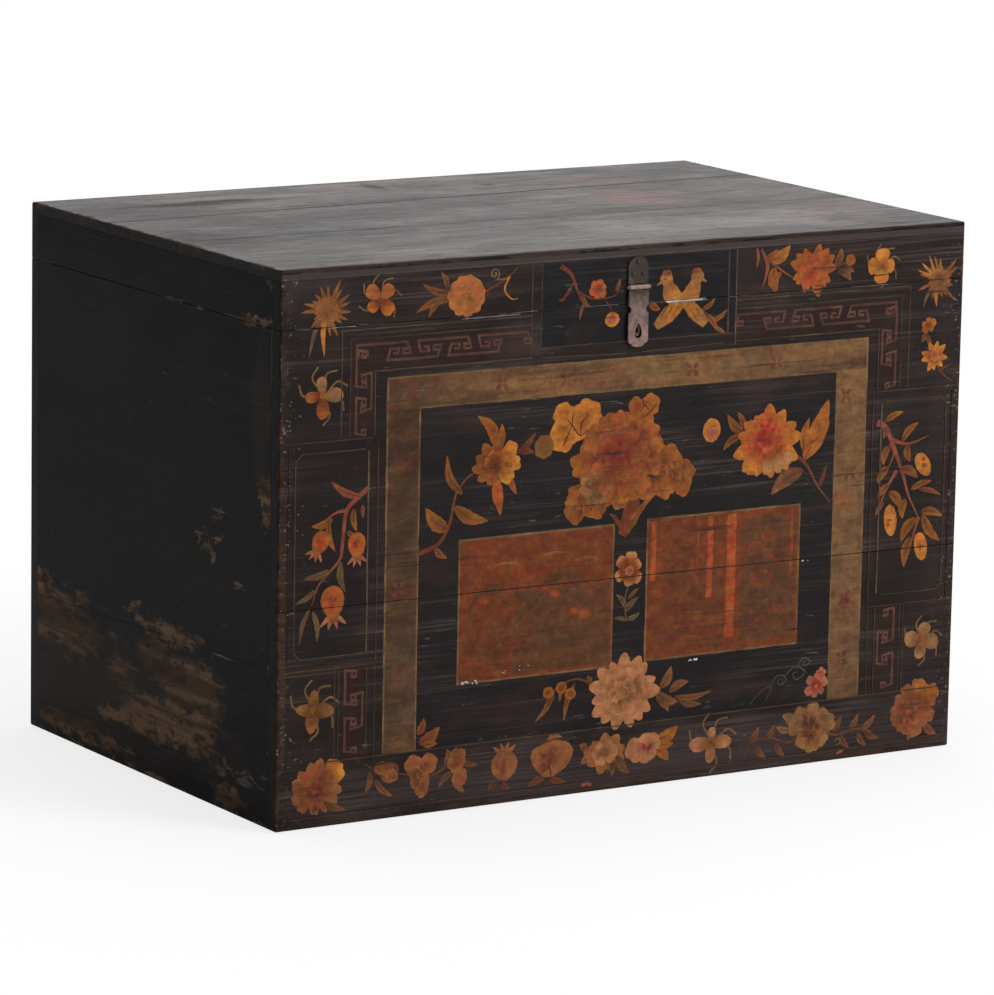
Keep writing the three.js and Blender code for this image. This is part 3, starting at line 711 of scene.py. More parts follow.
def smooth(points: list[Point], steps: int) -> np.ndarray:
    """Runs an even curve through points.

    Args:
        points: Two or more points.
        steps: How many points the curve gets.

    Returns:
        The curve, as an array of points.
    """
    path = np.array(points, float)
    if len(path) == 2:
        return path[0] + np.linspace(0, 1, steps)[:, None] * (path[1] - path[0])
    padded = np.vstack([2 * path[0] - path[1], path, 2 * path[-1] - path[-2]])
    spans = len(path) - 1
    curve = []
    for place in np.linspace(0, spans, steps):
        i = min(int(place), spans - 1)
        t = place - i
        a, b, c, d = padded[i:i + 4]
        curve.append(0.5 * (2 * b + (c - a) * t + (2 * a - 5 * b + 4 * c - d) * t**2 + (3 * b - a - 3 * c + d) * t**3))
    return np.array(curve)


def turned(angle: float) -> np.ndarray:
    """Gives the direction at an angle in degrees, counted clockwise from straight up."""
    radians = math.radians(angle)
    return np.array([math.sin(radians), -math.cos(radians)])


@dataclass
class Brush:
    """Lays marks of paint on the front, as closed thin slabs with a colour and an opacity at each corner."""

    seed: int = 1
    depth: float = 0.04
    first_lift: float = 0.08
    lift_step: float = 0.006
    points: list[tuple[float, float, float]] = field(default_factory=list)
    faces: list[tuple[int, ...]] = field(default_factory=list)
    colours: list[tuple[float, ...]] = field(default_factory=list)
    marks: int = 0

    VEINED = 5  # leaves wider than this have a dark vein
    RINGS = (1.0, 0.88, 0.64, 0.34)  # the loops of a patch, from its rim inwards

    def __post_init__(self) -> None:
        """Seeds the hand's unsteadiness."""
        self.hand = np.random.default_rng(self.seed)

    def slab(self, grid: np.ndarray, colours: np.ndarray, ring: bool) -> None:
        """Adds one mark.

        Args:
            grid: Rows of points, (rows, columns, 2). For a ring, the first row is its rim and the last is the
                innermost loop, which a middle point closes.
            colours: Colour and opacity of each point, (rows, columns, 4).
            ring: Whether the rows are closed loops.
        """
        rows, columns = grid.shape[:2]
        lift = self.first_lift + self.lift_step * self.marks
        self.marks += 1
        start = len(self.points)
        flat, tones = grid.reshape(-1, 2), colours.reshape(-1, 4)
        index = np.arange(rows * columns).reshape(rows, columns)
        if ring:
            flat = np.vstack([flat, grid[-1].mean(axis=0)])
            tones = np.vstack([tones, colours[-1].mean(axis=0)])
            rim = index[0].tolist()
            index = np.hstack([index, index[:, :1]])
        else:
            rim = [*index[0].tolist(), *index[1:, -1].tolist(), *index[-1, -2::-1].tolist(),
                   *index[-2:0:-1, 0].tolist()]
        outline = flat[rim] * (1, -1)
        following = np.roll(outline, -1, axis=0)
        flip = (outline[:, 0] * following[:, 1] - following[:, 0] * outline[:, 1]).sum() < 0
        quads = np.stack([index[:-1, :-1], index[:-1, 1:], index[1:, 1:], index[1:, :-1]], axis=2)
        tops = quads.reshape(-1, 4).tolist()
        if ring:
            inner = index[-1].tolist()
            tops += [(a, b, rows * columns) for a, b in zip(inner, inner[1:])]
        under = {corner: len(flat) + i for i, corner in enumerate(rim)}
        sides = [(b, a, under[a], under[b]) for a, b in zip(rim, rim[1:] + rim[:1])]
        base = [under[corner] for corner in reversed(rim)]
        for face in [*tops, *sides, base]:
            face = tuple(start + corner for corner in face)
            self.faces.append(face[::-1] if flip else face)
        self.points += [(u, v, lift) for u, v in flat] + [(*flat[index], -self.depth) for index in rim]
        self.colours += [tuple(tone) for tone in tones] + [tuple(tones[index]) for index in rim]

    def stroke(self, points: list[Point], width: float, scheme: Scheme | Pigment, taper: Taper = Taper.LEAF,
               opacity: float = 1.0, steps: int = 0, wobble: float = 0.04) -> None:
        """Draws a stroke or a leaf along a curve.

        Args:
            points: The curve's points.
            width: Full width at the widest place.
            scheme: Its colours, or one pigment.
            taper: How its width runs.
            opacity: How thick the paint lies.
            steps: Points along the curve; 0 takes as many as its bends need.
            wobble: Unsteadiness of the width.
        """
        steps = steps or 6 + 4 * len(points)
        line = smooth(points, steps)
        t = np.linspace(0, 1, steps)
        heading = np.gradient(line, axis=0)
        heading /= np.linalg.norm(heading, axis=1)[:, None] + TINY
        across = np.stack([-heading[:, 1], heading[:, 0]], axis=1)
        half = width / 2 * taper.at(t) * (1 + self.hand.normal(0, wobble, steps))
        places = (-1, -0.66, 0, 0.66, 1) if width > 3 else (-1, 0, 1)
        grid = np.stack([line + across * (half * place)[:, None] for place in places], axis=1)
        colours = np.ones((steps, len(places), 4))
        for column, place in enumerate(places):
            for row in range(steps):
                if isinstance(scheme, Pigment):
                    tone = np.array(scheme.value)
                else:
                    tone = scheme.tone(min(1, 0.25 + 0.55 * t[row] + 0.2 * abs(place)))
                    tone = scheme.rim if abs(place) == 1 and len(places) > 3 else tone
                colours[row, column, :3] = tone
                colours[row, column, 3] = opacity * (0.75 if abs(place) == 1 else 1.0)
        self.slab(grid, colours, ring=False)

    def twig(self, points: list[Point], width: float, opacity: float = 1.0) -> None:
        """Draws a twig that thins out towards its end."""
        self.stroke(points, width, Scheme.TWIGS, Taper.FADING, opacity)

    def blob(self, middle: Point, reach: tuple[float, float], scheme: Scheme, angle: float = 0.0, lobes: int = 0,
             dent: float = 0.0, lean: float = 0.0, opacity: float = 1.0, tip: bool = False,
             heart: Heart | None = None) -> None:
        """Draws a closed patch, such as a petal, a fruit or a rounded flower.

        Args:
            middle: Its middle.
            reach: Half sizes across and along its own axis.
            scheme: Its colours.
            angle: Where its axis points, in degrees clockwise from up.
            lobes: Lobes round its edge.
            dent: How deep the lobes cut, as a share of the reach.
            lean: Above 0 it is broader at its far end, below 0 at its near end.
            opacity: How thick the paint lies.
            tip: Whether the colour runs from the near end to the far one, as on a petal, not from its middle out.
            heart: The whole flower's heart and reach, which its colours follow too.
        """
        columns = 20 if max(reach) < 12 else 32
        turn = np.linspace(0, 2 * np.pi, columns, endpoint=False)
        shape = 1 + self.hand.normal(0, 0.018, columns)
        if lobes:
            shape = shape * (1 - dent * (1 - np.abs(np.sin(turn * lobes / 2 + 0.4))) ** 1.2)
        local_x = np.sin(turn) * reach[0] * (1 + lean * np.cos(turn)) * shape
        local_y = np.cos(turn) * reach[1] * shape
        axis = turned(angle)
        side = np.array([-axis[1], axis[0]])
        grid = np.empty((len(self.RINGS), columns, 2))
        colours = np.ones((len(self.RINGS), columns, 4))
        shade = 1 + self.hand.normal(0, 0.07)
        for row, ring in enumerate(self.RINGS):
            grid[row] = np.array(middle) + np.outer(local_x * ring, side) + np.outer(local_y * ring, axis)
            for column in range(columns):
                along = 0.5 + 0.5 * np.cos(turn[column]) * ring
                near = along if tip else ring
                far = near
                if heart:
                    far = math.hypot(*(grid[row, column] - heart[:2])) / heart[2]
                    near = 0.35 * near + 0.65 * min(far, 1.15)
                tone = scheme.tone(near) * (0.62 + 0.38 * min(1, along * 1.5) if tip else 1) * shade
                if row == 0:
                    glow = 0.7 * min(1.0, max(0.12, far * 1.25 - 0.2)) * (along if tip else 1)
                    tone = (1 - glow) * tone + glow * scheme.rim
                colours[row, column] = (*tone, opacity * (0.85 if row == 0 else 1.0))
        self.slab(grid, colours, ring=True)

    def blobs(self, scheme: Scheme, *rows: tuple[float, ...], lobes: int = 0, dent: float = 0.0, lean: float = 0.0,
              opacity: float = 1.0, heart: Heart | None = None, tip: bool = False) -> None:
        """Draws closed patches from rows of a place, half sizes, an angle and maybe their own number of lobes."""
        for u, v, across, along, angle, *own in rows:
            self.blob((u, v), (across, along), scheme, angle, *(own or [lobes]), dent, lean, opacity,
                      tip or heart is not None, heart)

    def petals(self, middle: Point, count: int, inner: float, length: float, width: float, scheme: Scheme,
               turn: float = 0.0, squash: float = 1.0, lobes: int = 5, dent: float = 0.16,
               heart: Heart | None = None, lean: float = 0.2, spread: float = 360.0) -> None:
        """Draws a ring of petals round a middle.

        Args:
            middle: The flower's middle.
            count: Petals in the ring.
            inner: From the middle to the petals' near ends.
            length: A petal's length.
            width: A petal's width.
            scheme: Colours, from the near ends to the tips.
            turn: Angle of the first petal.
            squash: The ring's height over its width.
            lobes: Lobes round each petal's edge.
            dent: How deep they cut.
            heart: The whole flower's heart and reach, which its colours follow too.
            lean: Above 0 the petals are broader at their tips, below 0 they end in points.
            spread: The angle that the ring fills.
        """
        if count > 4 and spread == 360:
            self.blob(middle, (inner + length * 0.35, (inner + length * 0.35) * squash), scheme, heart=heart)
        for i in range(count):
            angle = turn + spread * i / count + self.hand.normal(0, 4.5)
            size = 1 + self.hand.normal(0, 0.1)
            place = turned(angle) * (inner + length * size / 2)
            centre = (middle[0] + place[0], middle[1] + place[1] * squash)
            self.blob(centre, (width * size / 2, length * size / 2), scheme, angle, lobes, dent, lean, 1.0, True,
                      heart)

    def rosette(self, middle: Point, radius: float, scheme: Scheme, lobes: int = 11, turn: float = 0.0) -> None:
        """Draws a rounded flower with a scalloped edge and faint inner petals."""
        self.blob(middle, (radius, radius * 0.95), scheme, turn, lobes, 0.13)
        self.petals(middle, 7, radius * 0.05, radius * 0.72, radius * 0.6, scheme, turn, 1, 3, 0.1)

    def dapples(self, middle: Point, reach: Point, count: int, size: float, scheme: Scheme,
                heart: Heart | None = None) -> None:
        """Dabs small uneven touches over a flower, to break up its petals.

        Args:
            middle: Their middle.
            reach: Half sizes of the ellipse that they fill.
            count: How many.
            size: A touch's mean half size.
            scheme: Their colours.
            heart: The flower's heart and reach, which their colours follow.
        """
        for _ in range(count):
            angle, far = self.hand.uniform(0, math.tau), math.sqrt(self.hand.uniform(0, 1))
            spot = (middle[0] + reach[0] * far * math.cos(angle), middle[1] + reach[1] * far * math.sin(angle))
            across, along = size * self.hand.uniform(0.5, 1.1), size * self.hand.uniform(0.8, 1.5)
            away = math.degrees(math.atan2(spot[0] - middle[0], middle[1] - spot[1]))
            self.blob(spot, (across, along), scheme, away + self.hand.normal(0, 25), 4, 0.2, 0.2, 0.9, True, heart)

    def curl(self, middle: Point, radius: float, width: float, pigment: Pigment, turns: float = 1.4,
             start: float = 0.0, tail: Point | None = None) -> None:
        """Draws a spiral, which may run out into a tail."""
        line = []
        for i in range(18):
            share = i / 17
            angle = math.radians(start) + math.tau * turns * share
            line.append((middle[0] + radius * (0.15 + 0.85 * share) * math.sin(angle),
                         middle[1] - radius * (0.15 + 0.85 * share) * math.cos(angle)))
        self.stroke([*line, tail] if tail else line, width, pigment, Taper.EVEN, 0.85, 44)

    def cross_flower(self, middle: Point, radius: float, scheme: Scheme, turn: float = 0.0,
                     upper: Scheme | None = None, width: float = 0.72, lean: float = 0.2) -> None:
        """Draws a flower of four petals, with fine curled feelers between them."""
        u, v = middle
        for angle in (turn + 18, turn - 22, turn + 68, turn - 66, turn + 122, turn - 120):
            start, end = turned(angle) * radius * 0.3, turned(angle + 14) * radius * 1.3
            bend = turned(angle - 8) * radius * 0.95
            self.stroke([(u + start[0], v + start[1]), (u + bend[0], v + bend[1]), (u + end[0], v + end[1])],
                        radius * 0.09, Pigment.OCHRE, Taper.EVEN, 0.8)
        for i in range(4):
            tone = upper if upper and i in (0, 3) else scheme
            self.petals(middle, 1, radius * 0.06, radius * 0.92, radius * width, tone, turn + 45 + 90 * i, 1, 3, 0.08,
                        lean=lean)
        self.blob(middle, (radius * 0.13, radius * 0.13), Scheme.BROWN)

    def leaves(self, scheme: Scheme, *leaves: tuple[float, ...], opacity: float = 0.95) -> None:
        """Draws leaves, each given as its foot, its tip, its width and how far it bends to one side."""
        for *ends, width, bend in leaves:
            foot, tip = np.array(ends[:2]), np.array(ends[2:])
            along = tip - foot
            side = np.array([-along[1], along[0]]) / (np.linalg.norm(along) + TINY)
            middle = (foot + tip) / 2 + side * bend
            self.stroke([foot, middle, tip], width, scheme, Taper.LEAF, opacity)
            if width > self.VEINED:
                self.stroke([foot, middle, (middle + tip) / 2], 0.8, Pigment.UMBER, Taper.FADING, 0.7)

    def line(self, points: list[Point], width: float, pigment: Pigment, opacity: float = 0.8,
             closed: bool = False) -> None:
        """Rules a line with sharp corners.

        Args:
            points: Its corners.
            width: Its width.
            pigment: Its colour.
            opacity: How thick the paint lies.
            closed: Whether it returns to its start.
        """
        run = np.array([*points, points[0]] if closed else points, float)
        first = self.marks
        for i, (a, b) in enumerate(zip(run[:-1], run[1:])):
            length = np.linalg.norm(b - a)
            if length < 1e-6:
                continue
            heading = (b - a) / length
            ends = a - heading * width * 0.45, b + heading * width * 0.45
            steps = max(3, int(length / 14))
            t = np.linspace(0, 1, steps)
            middle = ends[0] + t[:, None] * (ends[1] - ends[0])
            side = np.array([-heading[1], heading[0]])
            half = width / 2 * (1 + self.hand.normal(0, 0.13, steps))
            drift = self.hand.normal(0, 0.12, steps)
            grid = np.stack([middle + side * (drift + half * place)[:, None] for place in (-1, 1)], axis=1)
            colours = np.ones((steps, 2, 4))
            colours[..., :3] = pigment.value
            fade = np.clip(opacity * (1 + self.hand.normal(0, 0.22, steps)), 0.12, 1)
            colours[..., 3] = fade[:, None]
            self.marks = first + (2 if closed and i == len(run) - 2 else i % 2)
            self.slab(grid, colours, ring=False)
        self.marks = first + 3

    def field(self, low: Point, high: Point, tones: list[tuple[Pigment, float]], cell: float = 9.0,
              opacity: float = 1.0, crowd: float = 1.0, far: tuple[float, ...] | None = None,
              flow: float = 1.8) -> None:
        """Fills a rectangle with a cloudy mix of pigments.

        Args:
            low: Its upper left corner.
            high: Its lower right corner.
            tones: The pigments, each with its share.
            cell: Size of the cloudiness.
            opacity: How thick the paint lies.
            crowd: Above 1 the mix is more even.
            far: The shares at the far end, right or low, if they change on the way.
            flow: How much longer the clouds are than high.
        """
        columns = max(2, int((high[0] - low[0]) / cell) + 1)
        rows = max(2, int((high[1] - low[1]) / cell * flow) + 1)
        u, v = np.meshgrid(np.linspace(low[0], high[0], columns), np.linspace(low[1], high[1], rows))
        palette = np.array([pigment.value for pigment, _ in tones])
        shares = np.array([share for _, share in tones])
        weights = self.hand.dirichlet(shares * crowd, size=(rows, columns))
        coarse = self.hand.dirichlet(shares * crowd, size=(rows // 4 + 2, columns // 4 + 2))
        down = np.linspace(0, coarse.shape[0] - 1.001, rows)[:, None]
        across = np.linspace(0, coarse.shape[1] - 1.001, columns)
        i, j = np.floor(down).astype(int), np.floor(across).astype(int)
        p, q = (down - i)[..., None], (across - j)[..., None]
        weights = 0.25 * weights + 0.75 * ((1 - p) * ((1 - q) * coarse[i, j] + q * coarse[i, j + 1])
                                         + p * ((1 - q) * coarse[i + 1, j] + q * coarse[i + 1, j + 1]))
        if far:
            shape = (1, columns, 1) if columns > rows else (rows, 1, 1)
            way = np.linspace(0, 1, max(shape)).reshape(shape)
            weights = weights * ((1 - way) + way * np.array(far) / shares)
            weights /= weights.sum(axis=2, keepdims=True)
        colours = np.ones((rows, columns, 4))
        colours[..., :3] = weights @ palette
        colours[..., 3] = opacity * np.clip(1 + self.hand.normal(0, 0.05, (rows, columns)), 0.3, 1)
        self.slab(np.stack([u, v], axis=2), colours, ring=False)

    def mesh(self, name: str) -> bpy.types.Mesh:
        """Makes the marks into a mesh in the chest's own frame."""
        mesh = bpy.data.meshes.new(name)
        places = [(Chest.left + u * MM, Chest.front - lift * MM, Chest.top - v * MM) for u, v, lift in self.points]
        mesh.from_pydata(places, [], self.faces)
        attribute = mesh.color_attributes.new(PAINT, "FLOAT_COLOR", "POINT")
        attribute.data.foreach_set("color", np.array(self.colours, np.float32).ravel())
        return mesh


def keep_side(mesh: bpy.types.Mesh, height: float, above: bool) -> bpy.types.Mesh | None:
    """Cuts a mesh at a height and closes the cut.

    Args:
        mesh: Closed slabs.
        height: The cut.
        above: Whether the part above is kept, or the one below.

    Returns:
        The part that is kept, or None if nothing is left.
    """
    shape = bmesh.new()
    shape.from_mesh(mesh)
    geometry = [*shape.verts, *shape.edges, *shape.faces]
    direction = (0, 0, -1) if above else (0, 0, 1)
    bmesh.ops.bisect_plane(shape, geom=geometry, plane_co=(0, 0, height), plane_no=direction, clear_outer=True)
    rims = [edge for edge in shape.edges if edge.is_boundary]
    if rims:
        bmesh.ops.holes_fill(shape, edges=rims, sides=0)
    part = None
    if shape.faces:
        part = bpy.data.meshes.new(mesh.name)
        shape.to_mesh(part)
    shape.free()
    return part


def place(name: str, mesh: bpy.types.Mesh, material: bpy.types.Material, body: str, slot: str) -> None:
    """Adds a finished piece to the scene and lets it ride.

    Args:
        name: The piece's name.
        mesh: Its mesh, in the chest's frame.
        material: Its finish.
        body: The CAD body that carries it.
        slot: Not used.
    """
    piece = bpy.data.objects.new(name, mesh)
    mesh.name = name
    mesh.materials.clear()
    mesh.materials.append(material)
    bpy.context.scene.collection.objects.link(piece)
    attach(piece, body)
    LOG.info("%s: %d faces on %s", name, len(mesh.polygons), body)


# What repeats: geometry nodes


@dataclass
class Repeat:
    """A geometry node tree that repeats a unit along a line or round a middle."""

    name: str
    around: bool

    SWAY = 0.35  # how much a copy's angle is off, as a share of its unevenness

    def tree(self) -> bpy.types.NodeTree:
        """Builds the tree, with named inputs for its sizes."""
        group = bpy.data.node_groups.new(self.name, "GeometryNodeTree")
        kinds = {"Geometry": "Geometry", "Unit": "Object", "Count": "Int", "Start": "Vector", "Step": "Vector",
                 "Turn": "Float", "Unevenness": "Float", "Seed": "Int", "Finish": "Material"}
        for label, kind in kinds.items():
            group.interface.new_socket(label, in_out="INPUT", socket_type=f"NodeSocket{kind}")
        group.interface.new_socket("Geometry", in_out="OUTPUT", socket_type="NodeSocketGeometry")
        tree = Tree(group)
        entry = tree.node("NodeGroupInput").outputs
        given = {label: Value(tree, entry[label]) for label in kinds}
        line = tree.value("GeometryNodeMeshLine", {"Count": given["Count"], "Start Location": given["Start"],
                                                   "Offset": given["Step"]}, mode="OFFSET")
        unit = tree.value("GeometryNodeObjectInfo", {"Object": given["Unit"]}, "Geometry")
        uneven = given["Unevenness"]
        size, sway = (tree.value("FunctionNodeRandomValue", {2: low, 3: high, "Seed": given["Seed"]}, 1,
                                 data_type="FLOAT")
                      for low, high in ((1.0 - uneven, 1.0 + uneven), (uneven * -self.SWAY, uneven * self.SWAY)))
        angle = tree.value("GeometryNodeInputIndex") * given["Turn"] + sway
        turn = tree.vector(0.0, angle if self.around else 0.0, 0.0)
        scale = tree.vector(1.0, 1.0, size) if self.around else tree.vector(size, size, size)
        copies = tree.value("GeometryNodeInstanceOnPoints", {"Points": line, "Instance": unit, "Rotation": turn,
                                                             "Scale": scale})
        real = tree.value("GeometryNodeRealizeInstances", {0: copies})
        dressed = tree.value("GeometryNodeSetMaterial", {"Geometry": real, "Material": given["Finish"]})
        tree.node("NodeGroupOutput", {0: dressed})
        return group

    def run(self, unit: bpy.types.Mesh, material: bpy.types.Material, count: int, start: Place,
            step: Place = (0, 0, 0), turn: float = 0.0, unevenness: float = 0.0, seed: int = 1) -> bpy.types.Mesh:
        """Runs the tree and gives the plain mesh.

        Args:
            unit: The mesh that is repeated, round its own origin.
            material: Its finish.
            count: How many copies.
            start: Where the first one goes.
            step: From each copy to the next.
            turn: Angle from each copy to the next, in radians.
            unevenness: How much the copies differ in size, as a share.
            seed: Seed of the differences.

        Returns:
            The copies as one mesh.
        """
        source = bpy.data.objects.new(f"{self.name}_unit", unit)
        carrier = bpy.data.objects.new(f"{self.name}_run", bpy.data.meshes.new(f"{self.name}_run"))
        for item in (source, carrier):
            bpy.context.scene.collection.objects.link(item)
        group = bpy.data.node_groups.get(self.name) or self.tree()
        modifier = carrier.modifiers.new(self.name, "NODES")
        modifier.node_group = group
        values = {"Unit": source, "Count": count, "Start": start, "Step": step, "Turn": turn,
                  "Unevenness": unevenness, "Seed": seed, "Finish": material}
        for item in group.interface.items_tree:
            if item.in_out == "INPUT" and item.name in values:
                modifier[item.identifier] = values[item.name]
        evaluated = carrier.evaluated_get(bpy.context.evaluated_depsgraph_get())
        mesh = bpy.data.meshes.new_from_object(evaluated)
        carrier.modifiers.clear()
        for item in (carrier, source):
            bpy.data.objects.remove(item)
        return mesh


# The painting


@dataclass
class Painting:
    """The decoration of the front, in millimetres from its upper left corner."""

    finish: bpy.types.Material
    width: float = 900.0
    seam_above: float = Chest.lid_base
    seam_below: float = Chest.rim

    def lay(self, name: str, source: Brush | bpy.types.Mesh) -> None:
        """Adds marks as pieces, cut at the lid's seam where they cross it."""
        mesh = source.mesh(name) if isinstance(source, Brush) else source
        for body, height, above in (("lid", self.seam_above, True), ("case", self.seam_below, False)):
            part = keep_side(mesh, height, above)
            if part:
                place(f"{name}_{body}", part, self.finish, body, "painted_lacquer")

    def build(self) -> None:
        """Lays the whole painting, from the grounds up to the flowers."""
        self.grounds()
        self.rubbings()
        self.rules()
        self.frets()
        self.bursts()
        self.lid_band()
        self.bouquet()
        self.panels()
        self.side_panels()
        self.corner_boxes()
        self.foot_of_frame()
        self.bottom_band()

    def grounds(self) -> None:
        """Lays the darker field inside the olive frame and the frame itself."""
        brush = Brush(seed=11, first_lift=0.02)
        brush.field((176, 161), (726, 541), [(Pigment.BLUE_BLACK, 1.0)], 40, 0.62)
        brush.field((328, 12), (586, 106), [(Pigment.BLUE_BLACK, 1.0)], 40, 0.93)
        for side in (1, -1):
            for low, high in (((88, 81), (316, 116)), ((88, 116), (117, 186)), ((78, 442), (112, 541))):
                span = sorted((u if side > 0 else self.width - u for u in (low[0], high[0])))
                brush.field((span[0], low[1]), (span[1], high[1]), [(Pigment.MAROON, 1.0)], 30, 0.6)
        self.lay("painted_fields", brush)
        brush = Brush(seed=12, first_lift=0.03)
        frame_mix = [(Pigment.OLIVE, 1.2), (Pigment.OCHRE, 0.2), (Pigment.MOSS, 2.0), (Pigment.MADDER, 0.5),
                     (Pigment.UMBER, 1.0), (Pigment.STRAW, 0.1)]
        bright = (1.6, 3.2, 0.2, 0.4, 0.05, 1.3)
        for low, high, start, end in (((134, 126), (450, 161), (0.9, 0.15, 2.2, 1.0, 1.4, 0.1), bright),
                                      ((450, 126), (768, 161), bright, (2.6, 1.6, 1.4, 0.8, 0.4, 0.4)),
                                      ((134, 161), (175, 542), (0.5, 0.05, 2.2, 0.8, 3.6, 0.05),
                                       (1.4, 0.4, 2.0, 0.3, 0.8, 0.1)),
                                      ((727, 161), (768, 542), bright, (2.6, 1.4, 1.6, 0.9, 0.4, 0.3))):
            mix = [(pigment, share) for (pigment, _), share in zip(frame_mix, start)]
            brush.field(low, high, mix, 13, 0.96, 0.65, end, 5.0)
            brush.marks -= 1
        brush.marks += 1
        brush.line([(134, 542), (134, 126), (768, 126), (768, 542)], 2.2, Pigment.OCHRE, 0.8)
        brush.line([(175, 542), (175, 161), (726.5, 161), (726.5, 542)], 2.0, Pigment.OCHRE, 0.75)
        brush.line([(134, 542), (175, 542)], 1.4, Pigment.OCHRE, 0.6)
        brush.line([(727, 542), (768, 542)], 1.4, Pigment.OCHRE, 0.6)
        for u, v in ((165, 141), (280, 141), (362, 144), (529, 144), (643, 145), (740, 190), (748, 280), (745, 425),
                     (744, 496), (151, 360), (150, 452)):
            brush.petals((u, v), 4, 1.5, 9, 5, Scheme.FADED, 45, 1, 3, 0.1)
            brush.marks -= 4
        self.lay("olive_frame", brush)

    def rubbings(self) -> None:
        """Lays the pale rubbed line along the lid's seam, and the pale flakes on the paint below it."""
        brush = Brush(seed=15, first_lift=0.3, depth=0.02)
        for start, end, v, opacity in ((492, 544, 64.9, 1.0), (492, 540, 65.9, 0.9), (96, 132, 65.0, 0.35),
                                       (215, 322, 65.0, 0.45), (60, 92, 65.3, 0.5), (330, 428, 64.9, 0.3),
                                       (576, 690, 65.0, 0.4), (742, 880, 65.1, 0.35), (470, 490, 65.2, 0.3),
                                       (18, 40, 65.0, 0.4), (500, 546, 66.6, 0.35), (226, 300, 67.0, 0.25)):
            brush.line([(start, v), (end, v)], 1.0, Pigment.CHALK, opacity)
        self.lay("seam_rubbing", brush)
        brush = Brush(seed=16, first_lift=0.3, depth=0.02)
        for middle, reach, count, size in (((247, 474), (22, 2.5), 12, 1.2), ((300, 466), (26, 8), 6, 0.8),
                                           ((540, 477.5), (7, 0.7), 6, 1.3), ((689, 377), (6, 1), 3, 0.8)):
            brush.dapples(middle, reach, count, size, Scheme.CHALKY)
        self.lay("pale_scuffs", brush)

    def rules(self) -> None:
        """Rules the fine lines of the bands and the boxes."""
        brush = Brush(seed=21)
        brush.line([(4, 10.5), (896, 10.5)], 1.3, Pigment.DUST, 0.5)
        for u, v, opacity in ((316, 112, 0.35), (328.5, 104, 0.3), (575, 108, 0.6), (585.5, 120, 0.75)):
            brush.line([(u, 14), (u, v)], 1.6, Pigment.RULE, opacity)
        brush.line([(328.5, 106.5), (440, 106.5)], 1.2, Pigment.RULE, 0.35)
        brush.line([(470, 106.5), (575, 106.5)], 1.2, Pigment.RULE, 0.45)
        for mirrored in (False, True):
            def at(u: float, v: float, right: bool = mirrored) -> Point:
                """Gives a place, or its mirror image on the right."""
                return (self.width - u + (1 if right else 0) if right else u, v)
            brush.line([at(316, 70), at(76, 70), at(76, 186)], 1.5, Pigment.RULE, 0.45)
            brush.line([at(316, 80), at(87, 80), at(87, 186)], 1.3, Pigment.RULE, 0.4)
            brush.line([at(316, 116.5), at(118, 116.5), at(118, 186)], 1.4, Pigment.RULE, 0.55)
            brush.line([at(440, 120), at(330, 117)], 1.2, Pigment.RULE, 0.45)
            brush.line([at(6, 189), at(116, 189)], 1.2, Pigment.FRET, 0.5)
            brush.line([at(10, 440), at(122, 440)], 1.3, Pigment.LEAF, 0.35)
            for u in (72, 77, 112, 122):
                brush.line([at(u, 442), at(u, 542)], 1.2, Pigment.RULE, 0.4)
            low, high, cut = (20, 201), (111, 427), 8
            frame_line = [(high[0] - 5, low[1]), (low[0] + cut, low[1]), (low[0], low[1] + cut),
                          (low[0], high[1] - cut), (low[0] + cut, high[1]), (high[0] - 5, high[1])]
            brush.line([at(*point) for point in frame_line], 1.5, Pigment.RULE, 0.4)
            brush.line([at(high[0], low[1] + 3), at(high[0], high[1] - 3)], 1.9, Pigment.RULE, 0.8)
            brush.line([at(12, 194), at(12, 436)], 1.6, Pigment.MAROON, 0.6)
            brush.line([at(123, 194), at(123, 436)], 1.3, Pigment.FRET, 0.5)
        brush.line([(60, 543.5), (880, 543.5)], 1.4, Pigment.RULE, 0.45)
        brush.line([(15, 604), (885, 604)], 1.4, Pigment.FRET, 0.4)
        self.lay("ruled_lines", brush)

    def frets(self) -> None:
        """Repeats the fret's hooks along the bands beside the olive frame."""
        hook = [(0.12, 0.38), (0.20, 0.38), (0.20, 0.64), (0.05, 0.64), (0.0, 0.0), (0.93, 0.0), (1.0, 0.66),
                (0.86, 0.66), (0.86, 0.40), (0.93, 0.40)]
        repeat = Repeat("fret_run", around=False)
        runs = (("upper", 68.0, 19.0, 5, 38.5, 94.0, 87.0, True), ("side", 42.0, 19.0, 3, 26.0, 94.0, 92.0, False),
                ("low", 40.0, 22.0, 3, 26.5, 85.0, 444.0, False))
        for side in (1, -1):
            label_side = "left" if side > 0 else "right"
            for label, length, height, count, pitch, start_u, start_v, level in runs:
                for odd in (False, True):
                    brush = Brush(seed=31, first_lift=0.08 + 0.03 * odd + 0.06 * (not level))
                    turned_hook = [(x * length, (1 - y if odd else y) * height) for x, y in hook]
                    points = [(x * side, y) if level else (y * side, x) for x, y in turned_hook]
                    brush.line(points, 2.7, Pigment.FRET, 0.82)
                    copies = (count + 1 - odd) // 2
                    u = start_u if side > 0 else self.width - start_u + 1
                    first = (pitch * odd * side, 0) if level else (0, pitch * odd)
                    step = (2 * pitch * side, 0) if level else (0, 2 * pitch)
                    run = repeat.run(self.unit(brush, f"fret_{label}"), self.finish, copies,
                                     self.spot(u + first[0], start_v + first[1]), self.step(*step))
                    self.lay(f"fret_{label}_{label_side}_{'b' if odd else 'a'}", run)

